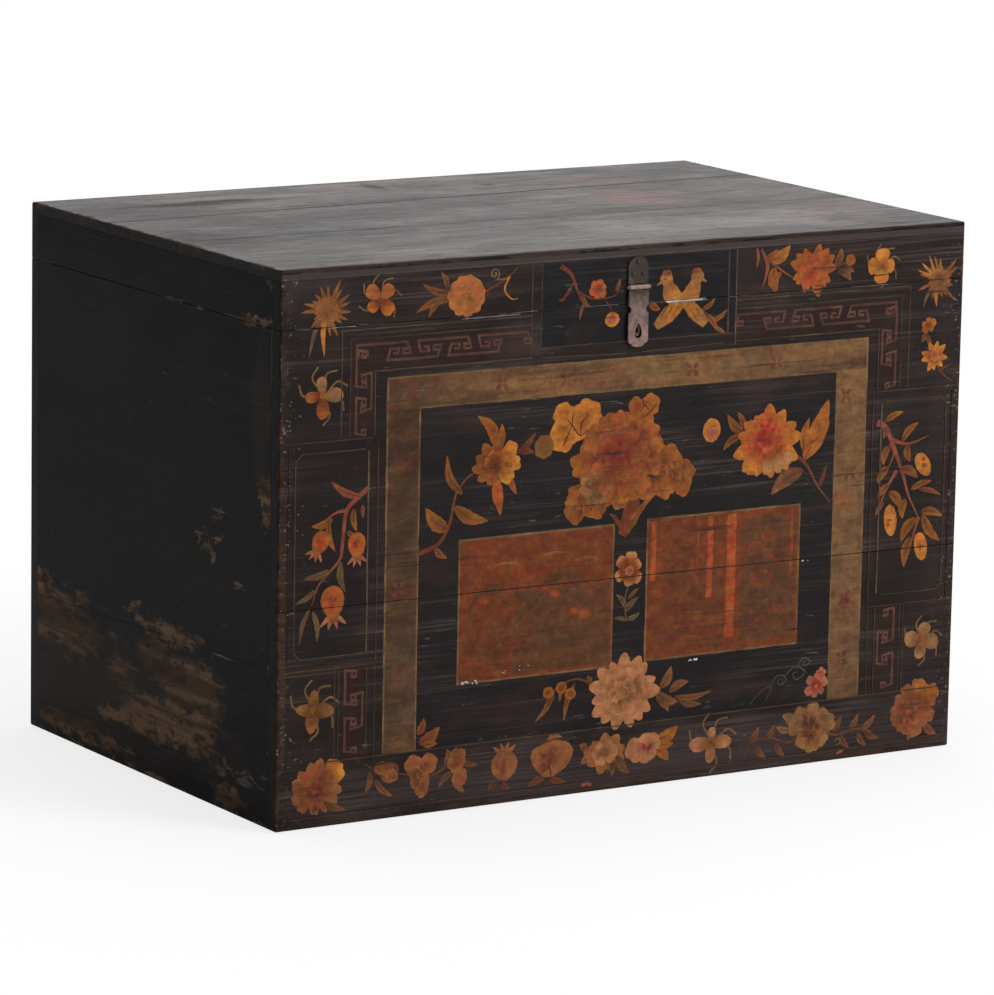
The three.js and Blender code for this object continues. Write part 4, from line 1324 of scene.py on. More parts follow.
    def unit(self, brush: Brush, name: str) -> bpy.types.Mesh:
        """Makes a brush's marks into a mesh round the origin, for repeating."""
        mesh = brush.mesh(name)
        mesh.transform(Matrix.Translation((-Chest.left, -Chest.front, -Chest.top)))
        return mesh

    def spot(self, u: float, v: float) -> tuple[float, float, float]:
        """Gives a place of the painting in the chest's frame."""
        return (Chest.left + u * MM, Chest.front, Chest.top - v * MM)

    def step(self, u: float, v: float) -> tuple[float, float, float]:
        """Gives a move over the painting in the chest's frame."""
        return (u * MM, 0.0, -v * MM)

    def bursts(self) -> None:
        """Repeats spikes round the two bursts in the upper corners."""
        repeat = Repeat("spike_ring", around=True)
        for label, middle, reach, seed in (("left", (57, 46), 27, 5), ("right", (866, 66), 25, 9)):
            brush = Brush(seed=seed)
            brush.stroke([(0, -2), (0.6, -reach * 0.6), (0, -reach)], reach * 0.17, Scheme.STARRY, Taper.LEAF)
            mesh = self.unit(brush, "spike")
            run = repeat.run(mesh, self.finish, 19, self.spot(*middle), turn=math.tau / 19, unevenness=0.34,
                             seed=seed)
            self.lay(f"burst_{label}", run)
            brush = Brush(seed=seed, first_lift=0.1)
            u, v = middle
            drop = 50 if label == "left" else 30
            brush.stroke([(u - 2, v + 6), (u - 5, v + drop * 0.5), (u - 3, v + drop)], 6, Scheme.BRIGHT, Taper.LEAF)
            brush.stroke([(u - 5, v + 4), (u - 16, v + drop * 0.5), (u - 22, v + drop)], 5, Scheme.GREENISH,
                         Taper.LEAF)
            if label == "right":
                for tip in ((-32, -14), (-26, -22), (-16, -30)):
                    brush.stroke([(u - 4, v - 3), (u + tip[0], v + tip[1])], 3.5, Scheme.BRIGHT, Taper.LEAF, 0.9)
            brush.blob(middle, (17, 16), Scheme.STARRY, 0, 13, 0.34)
            brush.blob(middle, (12, 11), Scheme.STARRY, 0, 9, 0.2)
            self.lay(f"burst_heart_{label}", brush)

    def lid_band(self) -> None:
        """Paints the flowers along the lid."""
        brush = Brush(seed=41)
        brush.cross_flower((122.5, 38.5), 21, Scheme.AMBER, 4, Scheme.SALMON)
        self.lay("lid_blossom_left", brush)
        brush = Brush(seed=42)
        brush.twig([(240, 44), (262, 36), (285, 24), (297, 14)], 3.6)
        brush.leaves(Scheme.LEAVES, (214, 44, 168, 56, 9, 4), (212, 38, 176, 26, 8, -3), (208, 34, 199, 14, 7, 2),
                     (196, 48, 184, 62, 6, 2), opacity=0.7)
        brush.curl((267, 20), 7, 1.6, Pigment.OCHRE, 1.5, 0, (284, 26))
        brush.stroke([(286, 24), (280, 38), (289, 49), (298, 49)], 3.0, Pigment.YELLOW, Taper.FADING, 0.9)
        brush.rosette((231.5, 42), 25, Scheme.SALMON, 11)
        self.lay("lid_rosette", brush)
        brush = Brush(seed=43)
        brush.twig([(352, 17), (366, 27), (374, 45), (380, 58)], 5.5, 0.9)
        brush.stroke([(370, 36), (356, 54), (350, 53)], 4, Scheme.TWIGS, Taper.LEAF, 0.8)
        brush.twig([(374, 46), (396, 56), (424, 54), (431, 40)], 2.6, 0.8)
        brush.leaves(
            Scheme.LEAVES, (380, 50, 392, 66, 5, 2), (384, 58, 378, 79, 4, 1), (424, 50, 430, 36, 5, 1), opacity=0.7)
        brush.petals((402, 46), 6, 1, 11, 9.5, Scheme.FRUIT, 10, 1, 3, 0.1)
        brush.petals((402, 46), 4, 0, 6, 6, Scheme.RED_TWIGS, 30, 1, 3, 0.1)
        brush.blob((420.5, 81), (9.5, 8.5), Scheme.BRIGHT)
        brush.blob((420.5, 81), (5.5, 5), Scheme.PINKISH, 0, 0, 0, 0, 0.9)
        brush.twig([(412, 60), (418, 68), (420, 74)], 1.6)
        self.lay("lid_branch", brush)
        brush = Brush(seed=44)
        self.bird_pair(brush)
        self.lay("bird_pair", brush)
        brush = Brush(seed=45)
        for points, width in (([(612, 12), (614, 24), (612, 36)], 4), ([(618, 14), (627, 34), (621, 58)], 5),
                              ([(618, 16), (634, 32), (668, 54)], 3)):
            brush.stroke(points, width, Scheme.RED_TWIGS, Taper.LEAF)
        brush.leaves(Scheme.BRIGHT, (630, 28, 657, 13, 15, 4), opacity=0.9)
        brush.leaves(
            Scheme.HONEY, (636, 36, 640, 66, 14, 3), (626, 24, 640, 16, 7, 2), (646, 42, 634, 58, 7, 2), opacity=0.85)
        brush.stroke([(712, 44), (730, 38), (741, 34)], 2.4, Scheme.TWIGS, Taper.EVEN)
        brush.leaves(Scheme.WITHERED, (720, 40, 728, 20, 11, 2), (724, 46, 742, 58, 10, -3), (732, 40, 746, 48, 8, 1),
                     opacity=0.8)
        brush.blob((740.5, 34.5), (7, 7), Scheme.HONEY, 0, 5, 0.12)
        heart = (690, 42, 30)
        for count, inner, length, width, turn in ((13, 12, 19, 12, 5), (11, 9, 13, 12, 20), (8, 2, 13, 11, 0)):
            brush.petals((690, 42.5), count, inner, length, width, Scheme.ROSY, turn, 0.92, 0, 0, heart, -0.42)
        brush.dapples((690, 42), (15, 13), 12, 4.5, Scheme.ROSY, (690, 42, 48))
        self.lay("lid_peony", brush)
        brush = Brush(seed=46)
        brush.cross_flower((785, 44), 19.5, Scheme.LEMON, 48, None, 0.92)
        self.lay("lid_blossom_right", brush)

    def bird_pair(self, brush: Brush) -> None:
        """Paints two small birds back to back over crossed wings and a leafy twig."""
        brush.twig([(520, 68), (548, 86), (566, 104)], 7, 0.85)
        brush.leaves(Scheme.LEAVES, (540, 78, 557, 66, 6, 2), (552, 92, 574, 80, 6, 2), (556, 98, 573, 107, 5, 0),
                     (546, 84, 560, 102, 8, -2), (470, 64, 484, 74, 9, 2))
        brush.stroke([(513, 67), (498, 78), (478, 93)], 19, Scheme.BIRD, Taper.SWELLING)
        brush.stroke([(514, 66), (530, 80), (545, 95)], 17, Scheme.BIRD, Taper.SWELLING)
        for side in (-1, 1):
            u = 512 + 20.5 * side
            brush.stroke([(512 + 2 * side, 63), (512 + 13 * side, 58), (u - side, 44)], 22, Scheme.BIRD, Taper.SWELLING)
            brush.blob((u, 40), (8.5, 8), Scheme.BIRD)
            brush.stroke([(u + 5 * side, 42), (u + 13 * side, 47)], 5, Pigment.OCHRE, Taper.FADING)
            brush.blob((u - 0.5 * side, 33.5), (7, 3.6), Scheme.RED_TWIGS, 0, 5, 0.2)
            brush.blob((u + 2 * side, 40), (1.3, 1.3), Scheme.TWIGS)
        brush.blob((512, 63), (15, 6), Scheme.BIRD, 0, 4, 0.1)
        for shift in (-8, 0, 8):
            brush.stroke([(500 + shift, 72), (492 + shift, 84)], 1.2, Pigment.MOSS, Taper.FADING, 0.8)
            brush.stroke([(524 + shift, 76), (532 + shift, 88)], 1.2, Pigment.MOSS, Taper.FADING, 0.8)

    def bouquet(self) -> None:
        """Paints the flowers in the upper half of the olive frame."""
        brush = Brush(seed=51)
        brush.stroke(
            [(176, 323), (201, 314), (215, 292), (222, 262), (236, 244), (252, 236)], 5.2, Scheme.TWIGS, Taper.FADING)
        brush.leaves(Scheme.LEAVES, (231, 262, 210, 217, 10, -7), (213, 300, 184, 273, 17, -4),
                     (220, 274, 264, 294, 15, 5), (196, 318, 212, 331, 8, 2), opacity=1)
        brush.stroke([(273, 212), (266, 190), (249, 176)], 14, Scheme.AMBER, Taper.LEAF)
        brush.stroke([(278, 216), (280, 200), (280, 187)], 9, Scheme.AMBER, Taper.LEAF)
        brush.stroke([(273, 246), (276, 266), (280, 289)], 14, Scheme.FRUIT, Taper.LEAF, 0.95)
        brush.stroke([(288, 246), (294, 256), (300, 267)], 8, Scheme.AMBER, Taper.LEAF)
        heart = (266, 228, 32)
        brush.blobs(
            Scheme.LOBES, (256, 234, 7.5, 15, 262), (258, 226, 7.5, 13, 285), (262, 216, 7.5, 11, 320),
            (260, 242, 7, 13, 235), (268, 246, 7, 10, 200), (274, 216, 8.5, 10, 5), lobes=3, dent=0.15, lean=-0.25,
            heart=heart)
        brush.blobs(Scheme.BRIGHT, (290, 218, 10, 13, 35), (293, 232, 10, 13, 95), (286, 244, 10, 12, 140), lobes=5,
                    dent=0.2, lean=0.1, heart=heart)
        brush.petals((274, 230), 7, 1, 17, 14, Scheme.HONEY, 20, 1, 5, 0.22, heart)
        brush.dapples((272, 230), (20, 14), 12, 4.5, Scheme.LOBES, heart)
        self.lay("iris_spray", brush)
        brush = Brush(seed=52)
        brush.leaves(Scheme.TWIGS, (300, 222, 324, 200, 8, 2), (304, 222, 322, 222, 7, -2), opacity=0.85)
        brush.blob((335, 217), (13, 14), Scheme.BUD, 10, 7, 0.1)
        self.lay("green_bud", brush)
        brush = Brush(seed=53, lift_step=0.004)
        brush.stroke([(440, 326), (452, 300), (449, 272)], 22, Scheme.TWIGS, Taper.SWELLING)
        brush.twig([(444, 322), (430, 305), (423, 300)], 8)
        brush.stroke([(452, 312), (470, 292), (486, 280)], 9, Scheme.LEAVES, Taper.FADING)
        brush.blobs(Scheme.BRIGHT, (363, 200, 19, 27, 200), (388, 191, 21, 25, 30), (360, 183, 14, 14, 300), lobes=7,
                    dent=0.12, lean=0.1)
        brush.blobs(
            Scheme.HONEY, (456, 182, 11, 13, 330), (474, 180, 13, 13, 40), (468, 194, 14, 11, 90), lobes=5, dent=0.14)
        for points in ([(364, 188), (371, 196), (382, 208), (392, 202)], [(371, 196), (363, 212), (359, 219)],
                       [(382, 208), (384, 194), (392, 186)], [(371, 196), (372, 182)], [(460, 188), (466, 181),
                       (472, 186)], [(466, 181), (463, 172)], [(462, 196), (474, 188), (482, 180)]):
            brush.stroke(points, 1.5, Pigment.UMBER, Taper.SWELLING, 0.95)
        heart = (432, 228, 84)
        lobes = ((398, 232, 20, 17, 268, 5), (402, 214, 18, 16, 300, 4), (420, 200, 14, 15, 345, 4),
                 (441, 198, 15, 13, 10, 5), (458, 206, 17, 15, 35, 5), (478, 222, 14, 13, 60, 4),
                 (487, 238, 13, 12, 80, 4), (500, 246, 20, 18, 60, 6), (517, 262, 18, 19, 120, 6),
                 (496, 268, 22, 16, 100, 7), (520, 276, 13, 11, 120, 4), (470, 274, 15, 14, 150, 5),
                 (455, 268, 14, 20, 170, 5), (437, 276, 12, 22, 185, 4), (420, 270, 15, 24, 205, 5),
                 (400, 266, 18, 20, 225, 6), (384, 280, 20, 17, 240, 7), (376, 294, 15, 12, 230, 5),
                 (402, 290, 17, 14, 200, 6), (391, 251, 13, 11, 262, 4), (408, 250, 18, 20, 250, 5))
        brush.blobs(Scheme.LOBES, *lobes, dent=0.16, lean=0.16, heart=heart)
        brush.dapples((392, 280), (22, 18), 15, 6.5, Scheme.HONEY, heart)
        brush.dapples((508, 262), (22, 14), 15, 6, Scheme.LOBES, heart)
        brush.dapples((452, 268), (40, 12), 10, 7, Scheme.LOBES, heart)
        for points in ([(380, 276), (386, 290), (382, 300)], [(372, 290), (380, 284)], [(394, 284), (400, 296)],
                       [(500, 252), (508, 262), (503, 272)], [(512, 254), (520, 266), (516, 276)],
                       [(492, 262), (486, 272)], [(444, 262), (448, 276)], [(428, 262), (426, 278)]):
            brush.stroke(points, 1.2, Pigment.STEM, Taper.SWELLING, 0.9)
        brush.petals((437, 236), 12, 22, 38, 25, Scheme.PEONY, 22, 0.88, 5, 0.26, (430, 232, 66))
        brush.dapples((440, 236), (46, 38), 26, 7, Scheme.PEONY, (430, 232, 66))
        brush.dapples((402, 269), (21, 15), 15, 7.5, Scheme.BISQUE)
        brush.petals((434, 234), 9, 6, 32, 22, Scheme.PEONY, 8, 0.9, 5, 0.26, (430, 232, 72))
        brush.dapples((430, 234), (26, 22), 16, 7, Scheme.PEONY, (430, 232, 84))
        self.lay("great_peony", brush)
        brush = Brush(seed=54)
        brush.twig([(654, 246), (684, 262), (704, 292), (722, 312)], 5.0)
        brush.stroke([(706, 294), (716, 268)], 5, Scheme.TWIGS, Taper.LEAF, 0.7)
        brush.leaves(Scheme.WITHERED, (684, 272, 640, 296, 20, 5), opacity=0.9)
        brush.leaves(Scheme.HONEY, (684, 260, 716, 193, 25, 3), (686, 244, 718, 218, 12, 5),
                     (683, 250, 690, 212, 11, -3), opacity=1)
        brush.leaves(Scheme.LEAVES, (600, 222, 578, 200, 11, -3), (598, 224, 573, 240, 9, 3),
                     (600, 218, 592, 198, 8, 2), (606, 222, 602, 208, 6, 0), opacity=0.8)
        brush.blob((557, 216), (12, 13.5), Scheme.BRIGHT)
        brush.blob((558, 219), (6.5, 7), Scheme.PINKISH, 0, 5, 0.15)
        heart = (630, 228, 42)
        brush.petals((633, 236), 13, 19, 25, 17, Scheme.GLOWING, 4, 0.93, 0, 0, heart, -0.38)
        brush.petals((634, 236), 11, 17, 22, 15, Scheme.GLOWING, 20, 0.93, 3, 0.2, heart, -0.3)
        brush.petals((633, 236), 11, 14, 22, 19, Scheme.GLOWING, 12, 0.95, 5, 0.24, heart)
        brush.petals((632, 233), 9, 6, 22, 17, Scheme.GLOWING, 25, 0.95, 5, 0.24, (628, 226, 50))
        brush.petals((631, 231), 6, 1, 16, 14, Scheme.GLOWING, 0, 0.95, 5, 0.2, (628, 226, 60))
        brush.dapples((630, 234), (30, 26), 24, 5.5, Scheme.GLOWING, (632, 226, 52))
        brush.blobs(Scheme.PALE_TIP, (634, 262, 8, 11, 190), (659, 254, 8, 11, 125), (648, 260, 9, 13, 155), lobes=4,
                    dent=0.2, lean=0.25, opacity=0.85, tip=True)
        self.lay("rose_peony", brush)

    def panels(self) -> None:
        """Paints the two vermilion panels, each with a worn landscape, and the sprig between them."""
        ground = [(Pigment.VERMILION, 5), (Pigment.DUSK, 1.5), (Pigment.EMBER, 1.2)]
        for label, low, high, seed in (("left", (228, 313), (429, 474), 61), ("right", (474, 311), (680, 472), 62)):
            brush = Brush(seed=seed)
            brush.field(low, high, ground, 11, 0.97, 1.3)
            self.scenery(brush, low, high, label == "right")
            brush.line([low, (high[0], low[1]), high, (low[0], high[1])], 2.4, Pigment.OCHRE, 0.75, closed=True)
            self.lay(f"panel_{label}", brush)
        brush = Brush(seed=63)
        brush.stroke([(448, 424), (446, 400), (450, 384)], 2, Pigment.OLIVE, Taper.EVEN)
        brush.leaves(Scheme.GREENISH, (448, 410, 434, 392, 6, 2), (447, 414, 464, 398, 7, -2),
                     (448, 422, 466, 416, 6, 2), (448, 424, 432, 420, 5, 2), (450, 400, 464, 388, 5, -1))
        brush.petals((450, 366), 6, 3, 17, 15, Scheme.DUSTY, 10, 1)
        brush.blob((451, 367), (6, 6), Scheme.PINKISH, 0, 5, 0.2)
        self.lay("panel_sprig", brush)

    def scenery(self, brush: Brush, low: Point, high: Point, wooded: bool) -> None:
        """Paints a plain landscape, much worn: hills and water, or a grove.

        Args:
            brush: The brush to draw with.
            low: The panel's upper left corner.
            high: Its lower right corner.
            wooded: Whether it is the grove.
        """
        def at(x: float, y: float) -> Point:
            """Gives a place by its shares of the panel's width and height."""
            return (low[0] + (high[0] - low[0]) * x, low[1] + (high[1] - low[1]) * y)

        haze = [(Pigment.DUSK, 3.0), (Pigment.VERMILION, 0.6), (Pigment.MOSS, 1.2)]
        if wooded:
            brush.field(at(0.62, 0.06), at(0.98, 0.94), haze, 8, 1.0, 0.8)
            brush.field(at(0.05, 0.3), at(0.5, 0.96), [(Pigment.DUSK, 1.3), (Pigment.VERMILION, 1.3),
                        (Pigment.EMBER, 0.3)], 9, 1.0, 0.8)
            for x, width, foot in ((0.41, 8, 0.6), (0.33, 4, 0.5), (0.55, 13, 0.9), (0.04, 7, 0.44), (0.95, 4, 0.5)):
                brush.stroke([at(x, 0.02), at(x + 0.003, foot / 2), at(x - 0.002, foot)], width,
                             Pigment.FLAME if width > 5 else Pigment.EMBER, Taper.EVEN, 1.0, 20, 0.05)
            for x, y, size in ((0.72, 0.28, 13), (0.8, 0.2, 10), (0.88, 0.36, 14), (0.76, 0.5, 15), (0.14, 0.3, 11),
                               (0.24, 0.24, 9), (0.18, 0.46, 8)):
                brush.blob(at(x, y), (size * 1.2, size * 0.7), Scheme.GROVE, 5, 9, 0.25)
            for x, y, size in ((0.3, 0.4, 13), (0.36, 0.3, 9), (0.2, 0.78, 9), (0.3, 0.86, 8), (0.74, 0.8, 8)):
                brush.blob(at(x, y), (size, size * 0.6), Scheme.WARM_STONE, 8, 6, 0.2, 0, 0.75)
        else:
            brush.field(at(0.36, 0.4), at(0.98, 0.97), haze, 8, 1.0, 0.9)
            brush.field(at(0.03, 0.56), at(0.36, 0.92), [(Pigment.DUSK, 1.0), (Pigment.VERMILION, 1.0)], 8, 1.0, 1.0)
            for points in (((0.05, 0.5), (0.2, 0.36), (0.34, 0.46), (0.46, 0.5)),
                           ((0.42, 0.52), (0.66, 0.3), (0.82, 0.42), (0.96, 0.5))):
                brush.stroke([at(*point) for point in points], 13, Scheme.GROVE, Taper.LEAF, 1.0)
            for x, y in ((0.3, 0.2), (0.62, 0.16), (0.82, 0.22)):
                brush.stroke([at(x - 0.08, y), at(x, y - 0.012), at(x + 0.08, y)], 3.4, Pigment.HAZE, Taper.LEAF)
            for x, y, size in ((0.56, 0.4, 8), (0.62, 0.44, 7), (0.16, 0.44, 8), (0.82, 0.6, 9), (0.74, 0.58, 7)):
                brush.blob(at(x, y), (size * 1.2, size * 0.8), Scheme.WARM_STONE, 0, 7, 0.2)
        for i in range(8):
            y = 0.62 + 0.045 * i
            x = 0.04 + 0.31 * ((i * 7) % 5) / 5
            brush.stroke([at(x, y), at(x + 0.18, y + 0.008), at(x + 0.36, y)], 1.8, Pigment.DUSK, Taper.LEAF)

    def side_panels(self) -> None:
        """Paints the fruit branches in the two tall side panels."""
        brush = Brush(seed=71)
        brush.stroke([(112, 244), (98, 254), (84, 268), (80, 299), (77, 319), (64, 333), (50, 347), (42, 368)], 6,
                     Scheme.RED_TWIGS, Taper.FADING, 0.9)
        brush.stroke([(84, 267), (72, 268), (58, 275)], 4.5, Scheme.RED_TWIGS, Taper.FADING, 0.9)
        brush.leaves(Scheme.RED_TWIGS, (102, 253, 65, 234, 9, -4), (104, 262, 105, 277, 5, 0), opacity=0.85)
        brush.leaves(Scheme.LEAVES, (67, 274, 41, 281, 9, -3), (62, 277, 70.5, 311, 8, 4), (93, 265, 97, 291, 8, 2),
                     (84, 290, 98, 296, 6, 1))
        brush.leaves(Scheme.STALE, (65, 331, 32, 338, 9, -2), (78, 322, 84, 357, 9, 4), (40, 370, 27, 410, 6, 3),
                     (43, 374, 49, 409, 7, -3), (47, 351, 21, 365, 7, -2), opacity=0.7)
        for u, v, across, along, angle in ((52, 299, 10.5, 13, 205), (97.5, 306, 11, 14, 176),
                                           (68, 366, 14.5, 18, 176)):
            tail = turned(angle) * along
            for tilt in (-30, -8, 14, 34):
                tip = turned(angle + tilt) * along * 1.75
                brush.stroke([(u + tail[0] * 0.7, v + tail[1] * 0.7), (u + tip[0], v + tip[1])], along * 0.3,
                             Scheme.PINKISH, Taper.LEAF, 0.9)
            brush.stroke(
                [(u, v), (u + tail[0] * 1.3, v + tail[1] * 1.3)], along * 0.8, Scheme.RED_TWIGS, Taper.SWELLING)
            brush.blob((u, v), (across, along), Scheme.FRUIT, angle, 0, 0, -0.12)
            brush.dapples((u, v), (across * 0.5, along * 0.5), 4, 3.5, Scheme.FRUIT)
        self.lay("pomegranate_branch", brush)
        brush = Brush(seed=72)
        for stem, width in (([(785, 225), (796, 231), (805, 247), (815, 269), (825, 294), (832, 314), (847, 341)], 7.5),
                            ([(814, 283), (800, 304), (787, 333)], 5), ([(805, 246), (822, 252), (837, 252),
                                                                         (859, 245)], 5),
                            ([(804, 250), (809, 264), (798, 286)], 4), ([(847, 340), (842, 356), (834, 380)], 5)):
            brush.stroke(stem, width, Scheme.RED_TWIGS, Taper.FADING, 0.95)
        brush.leaves(
            Scheme.LEAVES, (795, 225, 821, 215, 8, -2), (820, 250, 843, 229, 9, -3), (829, 254, 833, 274, 10, 3),
            (803, 253, 795, 275, 10, 3), (803, 278, 788, 296, 11, 3), (804, 299, 788, 313, 9, 2),
            (804, 307, 821, 328, 12, -3), (828, 317, 824, 340, 11, 3), (835, 307, 864, 299, 8, -2),
            (852, 337, 878, 371, 12, 4), (850, 334, 881, 342, 10, -3), (843, 341, 823, 367, 13, 4),
            (837, 362, 828, 397, 13, 3), (797, 318, 786, 333, 6, 1))
        brush.leaves(Scheme.PEACH, (820, 281, 844, 294, 11, -3), (845, 307, 878, 317, 6, -2),
                     (798, 231, 794, 244, 6, 0), opacity=0.8)
        for u, v, across, along, angle in ((851, 279, 9.5, 15.5, 146), (807, 341, 9, 18.5, 174),
                                           (851, 375, 9, 17, 168)):
            brush.blob((u, v), (across, along), Scheme.BERRY, angle, 0, 0, -0.06)
            brush.dapples((u, v), (across * 0.4, along * 0.5), 3, 3.2, Scheme.HONEY)
        self.lay("oval_fruit_branch", brush)

    def corner_boxes(self) -> None:
        """Paints the single flowers beside the frets."""
        for label, middle, size, turn, scheme, upper, width, lean in (
                ("left_upper", (52, 139), 25, 42, Scheme.LOBES, Scheme.HUSK, 0.6, 0.1),
                ("left_lower", (45, 484), 26, 50, Scheme.STARRY, None, 0.6, -0.35),
                ("right_lower", (857, 487), 23, 52, Scheme.HUSK, None, 0.75, 0.1)):
            brush = Brush(seed=81)
            brush.cross_flower(middle, size, scheme, turn, upper, width, lean)
            self.lay(f"box_flower_{label}", brush)
        brush = Brush(seed=84)
        brush.twig([(850, 130), (862, 158), (876, 176), (888, 184)], 3)
        brush.twig([(872, 170), (886, 164)], 2)
        brush.leaves(Scheme.LEAVES, (852, 126, 844, 136, 7, 1), (850, 128, 858, 138, 6, 1), opacity=0.8)
        brush.petals((852, 117), 5, 1, 10, 9, Scheme.HONEY, 0, 0.8)
        brush.petals((862, 154), 9, 2, 16, 8, Scheme.BRIGHT, 12, 1, 0, 0, None, -0.4)
        brush.petals((862, 153), 6, 0, 9, 6, Scheme.SALMON, 0, 1)
        self.lay("box_stars", brush)

    def foot_of_frame(self) -> None:
        """Paints what lies below the two panels, inside the olive frame."""
        brush = Brush(seed=91)
        brush.stroke([(402, 490), (380, 484), (352, 496), (336, 524)], 2.6, Scheme.LEAVES, Taper.FADING)
        brush.leaves(Scheme.LEAVES, (400, 492, 398, 482, 7, 2), (372, 486, 362, 508, 6, 3), (382, 488, 368, 530, 7, 3),
                     (356, 494, 330, 528, 6, -3), opacity=0.85)
        brush.blobs(
            Scheme.LEAVES, (347, 496, 7.5, 7, 0), (364, 492, 7.5, 7, 0), (376, 500, 7.5, 7, 0), lobes=5, dent=0.12)
        brush.leaves(
            Scheme.WITHERED, (490, 510, 520, 524, 14, 4), (496, 506, 510, 482, 13, 3), (508, 512, 534, 502, 11, -3),
            (520, 520, 552, 530, 9, 3), (514, 518, 566, 516, 8, 4), (494, 520, 508, 534, 9, -2))
        heart = (447, 505, 60)
        brush.petals((447, 505), 15, 20, 25, 16, Scheme.BUFF, 0, 0.9, 0, 0, heart, -0.25)
        brush.petals((447, 505), 12, 9, 25, 15, Scheme.BUFF, 12, 0.9, 3, 0.1, heart)
        brush.petals((447, 505), 8, 2, 18, 13, Scheme.BUFF, 4, 0.9, 3, 0.1, heart)
        brush.dapples((447, 505), (26, 20), 20, 5.5, Scheme.BUFF, heart)
        self.lay("chrysanthemum", brush)
        brush = Brush(seed=92)
        for u, v, size in ((660, 514, 9), (682, 508, 12), (694, 496, 7)):
            brush.stroke(
                [(u - size * 1.6, v + 8), (u - size, v - 2), (u, v - size * 0.7), (u + size, v), (u, v + size * 0.6),
                (u - size * 0.4, v), (u + size * 0.2, v - 2)], 1.8, Pigment.CLOUD, Taper.SWELLING, 0.85, 26)
        brush.stroke([(618, 538), (634, 524), (648, 520), (640, 536)], 1.6, Pigment.CLOUD, Taper.SWELLING, 0.7)
        brush.petals((710, 526), 6, 2, 14, 11, Scheme.PINKISH, 10, 1)
        brush.petals((716, 512), 5, 1, 7, 6, Scheme.PINKISH, 0, 1)
        self.lay("cloud_and_blossom", brush)
        brush = Brush(seed=93)
        brush.leaves(Scheme.PEONY, (180, 536, 206, 520, 14, 3), (178, 526, 186, 508, 10, 2), (184, 538, 204, 538, 8, 0),
                     opacity=0.75)
        self.lay("side_bloom", brush)

    def bottom_band(self) -> None:
        """Paints the row of flowers and fruit along the bottom."""
        brush = Brush(seed=101)
        heart = (50, 572, 36)
        brush.petals((52, 571), 12, 13, 22, 15, Scheme.MUTED, 340, 0.9, 3, 0.2, heart, -0.3)
        brush.petals((66, 562), 3, 4, 18, 15, Scheme.BRIGHT, 10, 0.9, 5, 0.2, (50, 572, 44), spread=90)
        brush.petals((46, 575), 9, 6, 22, 15, Scheme.PEACH, 10, 0.9, 5, 0.2, (50, 572, 50))
        brush.dapples((44, 576), (18, 12), 14, 5, Scheme.PEONY, heart)
        brush.leaves(Scheme.WITHERED, (60, 588, 88, 600, 9, 2), (50, 592, 52, 602, 9, 1), opacity=0.8)
        self.lay("corner_peony_left", brush)
        brush = Brush(seed=102)
        brush.stroke(
            [(112, 552), (132, 562), (160, 568), (196, 574), (228, 560), (252, 566)], 2.2, Scheme.TWIGS, Taper.EVEN)
        brush.leaves(
            Scheme.WITHERED, (118, 560, 112, 584, 8, -3), (124, 570, 148, 592, 8, 3), (132, 562, 152, 574, 11, 3),
            (214, 566, 216, 546, 12, 4), (218, 566, 240, 548, 10, 3), (226, 574, 240, 598, 11, 3),
            (224, 572, 206, 588, 8, 2), (154, 566, 140, 552, 8, 2), (236, 564, 256, 568, 6, 1), opacity=0.88)
        brush.blob((132, 558), (9, 8), Scheme.WITHERED, 0, 5, 0.12)
        brush.blobs(Scheme.MUTED, (174, 560, 12, 13, 320), (192, 560, 12, 13, 40), (183, 578, 15, 12, 90),
                    (184, 586, 12, 9, 90), lobes=5, dent=0.12)
        brush.dapples((183, 570), (12, 14), 9, 5, Scheme.PEACH)
        brush.blobs(Scheme.PEACH, (140, 560, 10, 9, 20), (146, 568, 9, 7, 20), (229, 560, 12, 15, 20),
                    (233, 580, 10, 12, 20), lobes=5, dent=0.16)
        self.lay("vine_left", brush)
        brush = Brush(seed=103)
        for tilt in (-34, -12, 12, 34):
            tip = turned(tilt) * 26
            brush.stroke([(291, 562), (291 + tip[0], 572 + tip[1])], 5.5, Scheme.MUTED, Taper.LEAF)
        brush.blob((291, 573), (17, 16.5), Scheme.MUTED, 0, 0, 0, 0.08)
        brush.dapples((289, 576), (9, 8), 8, 5, Scheme.PEACH)
        brush.leaves(Scheme.TWIGS, (283, 590, 270, 598, 7, 1), (288, 592, 298, 600, 7, 1), opacity=0.8)
        brush.leaves(Scheme.TWIGS, (345, 592, 322, 600, 9, 1), (350, 594, 372, 600, 8, 1), opacity=0.8)
        brush.blob((353, 572), (27, 22), Scheme.MUTED, 180, 2, 0.1, -0.3)
        brush.dapples((350, 574), (14, 11), 14, 6, Scheme.PEACH)
        brush.stroke([(353, 594), (350, 574), (352, 556)], 2, Pigment.STEM, Taper.LEAF, 0.7)
        brush.stroke([(346, 550), (356, 546), (366, 548)], 6, Scheme.MUTED, Taper.LEAF)
        self.lay("bottom_fruit", brush)
        brush = Brush(seed=104)
        brush.leaves(Scheme.PEACH, (400, 566, 390, 560, 9, 0), (404, 574, 392, 582, 9, 0), opacity=0.9)
        brush.petals((424, 573), 9, 8, 20, 16, Scheme.MUTED, 0, 0.75, 0, 0, (424, 573, 34), -0.3)
        brush.petals((423, 572), 6, 2, 15, 13, Scheme.BUFF, 20, 0.8, 3, 0.1)
        brush.leaves(Scheme.WITHERED, (440, 578, 456, 600, 12, 2), (436, 584, 434, 600, 9, 1), opacity=0.8)
        brush.leaves(Scheme.HONEY, (492, 566, 521, 552, 15, 3), (494, 572, 516, 572, 10, 0),
                     (492, 576, 509, 591, 13, -2), opacity=1)
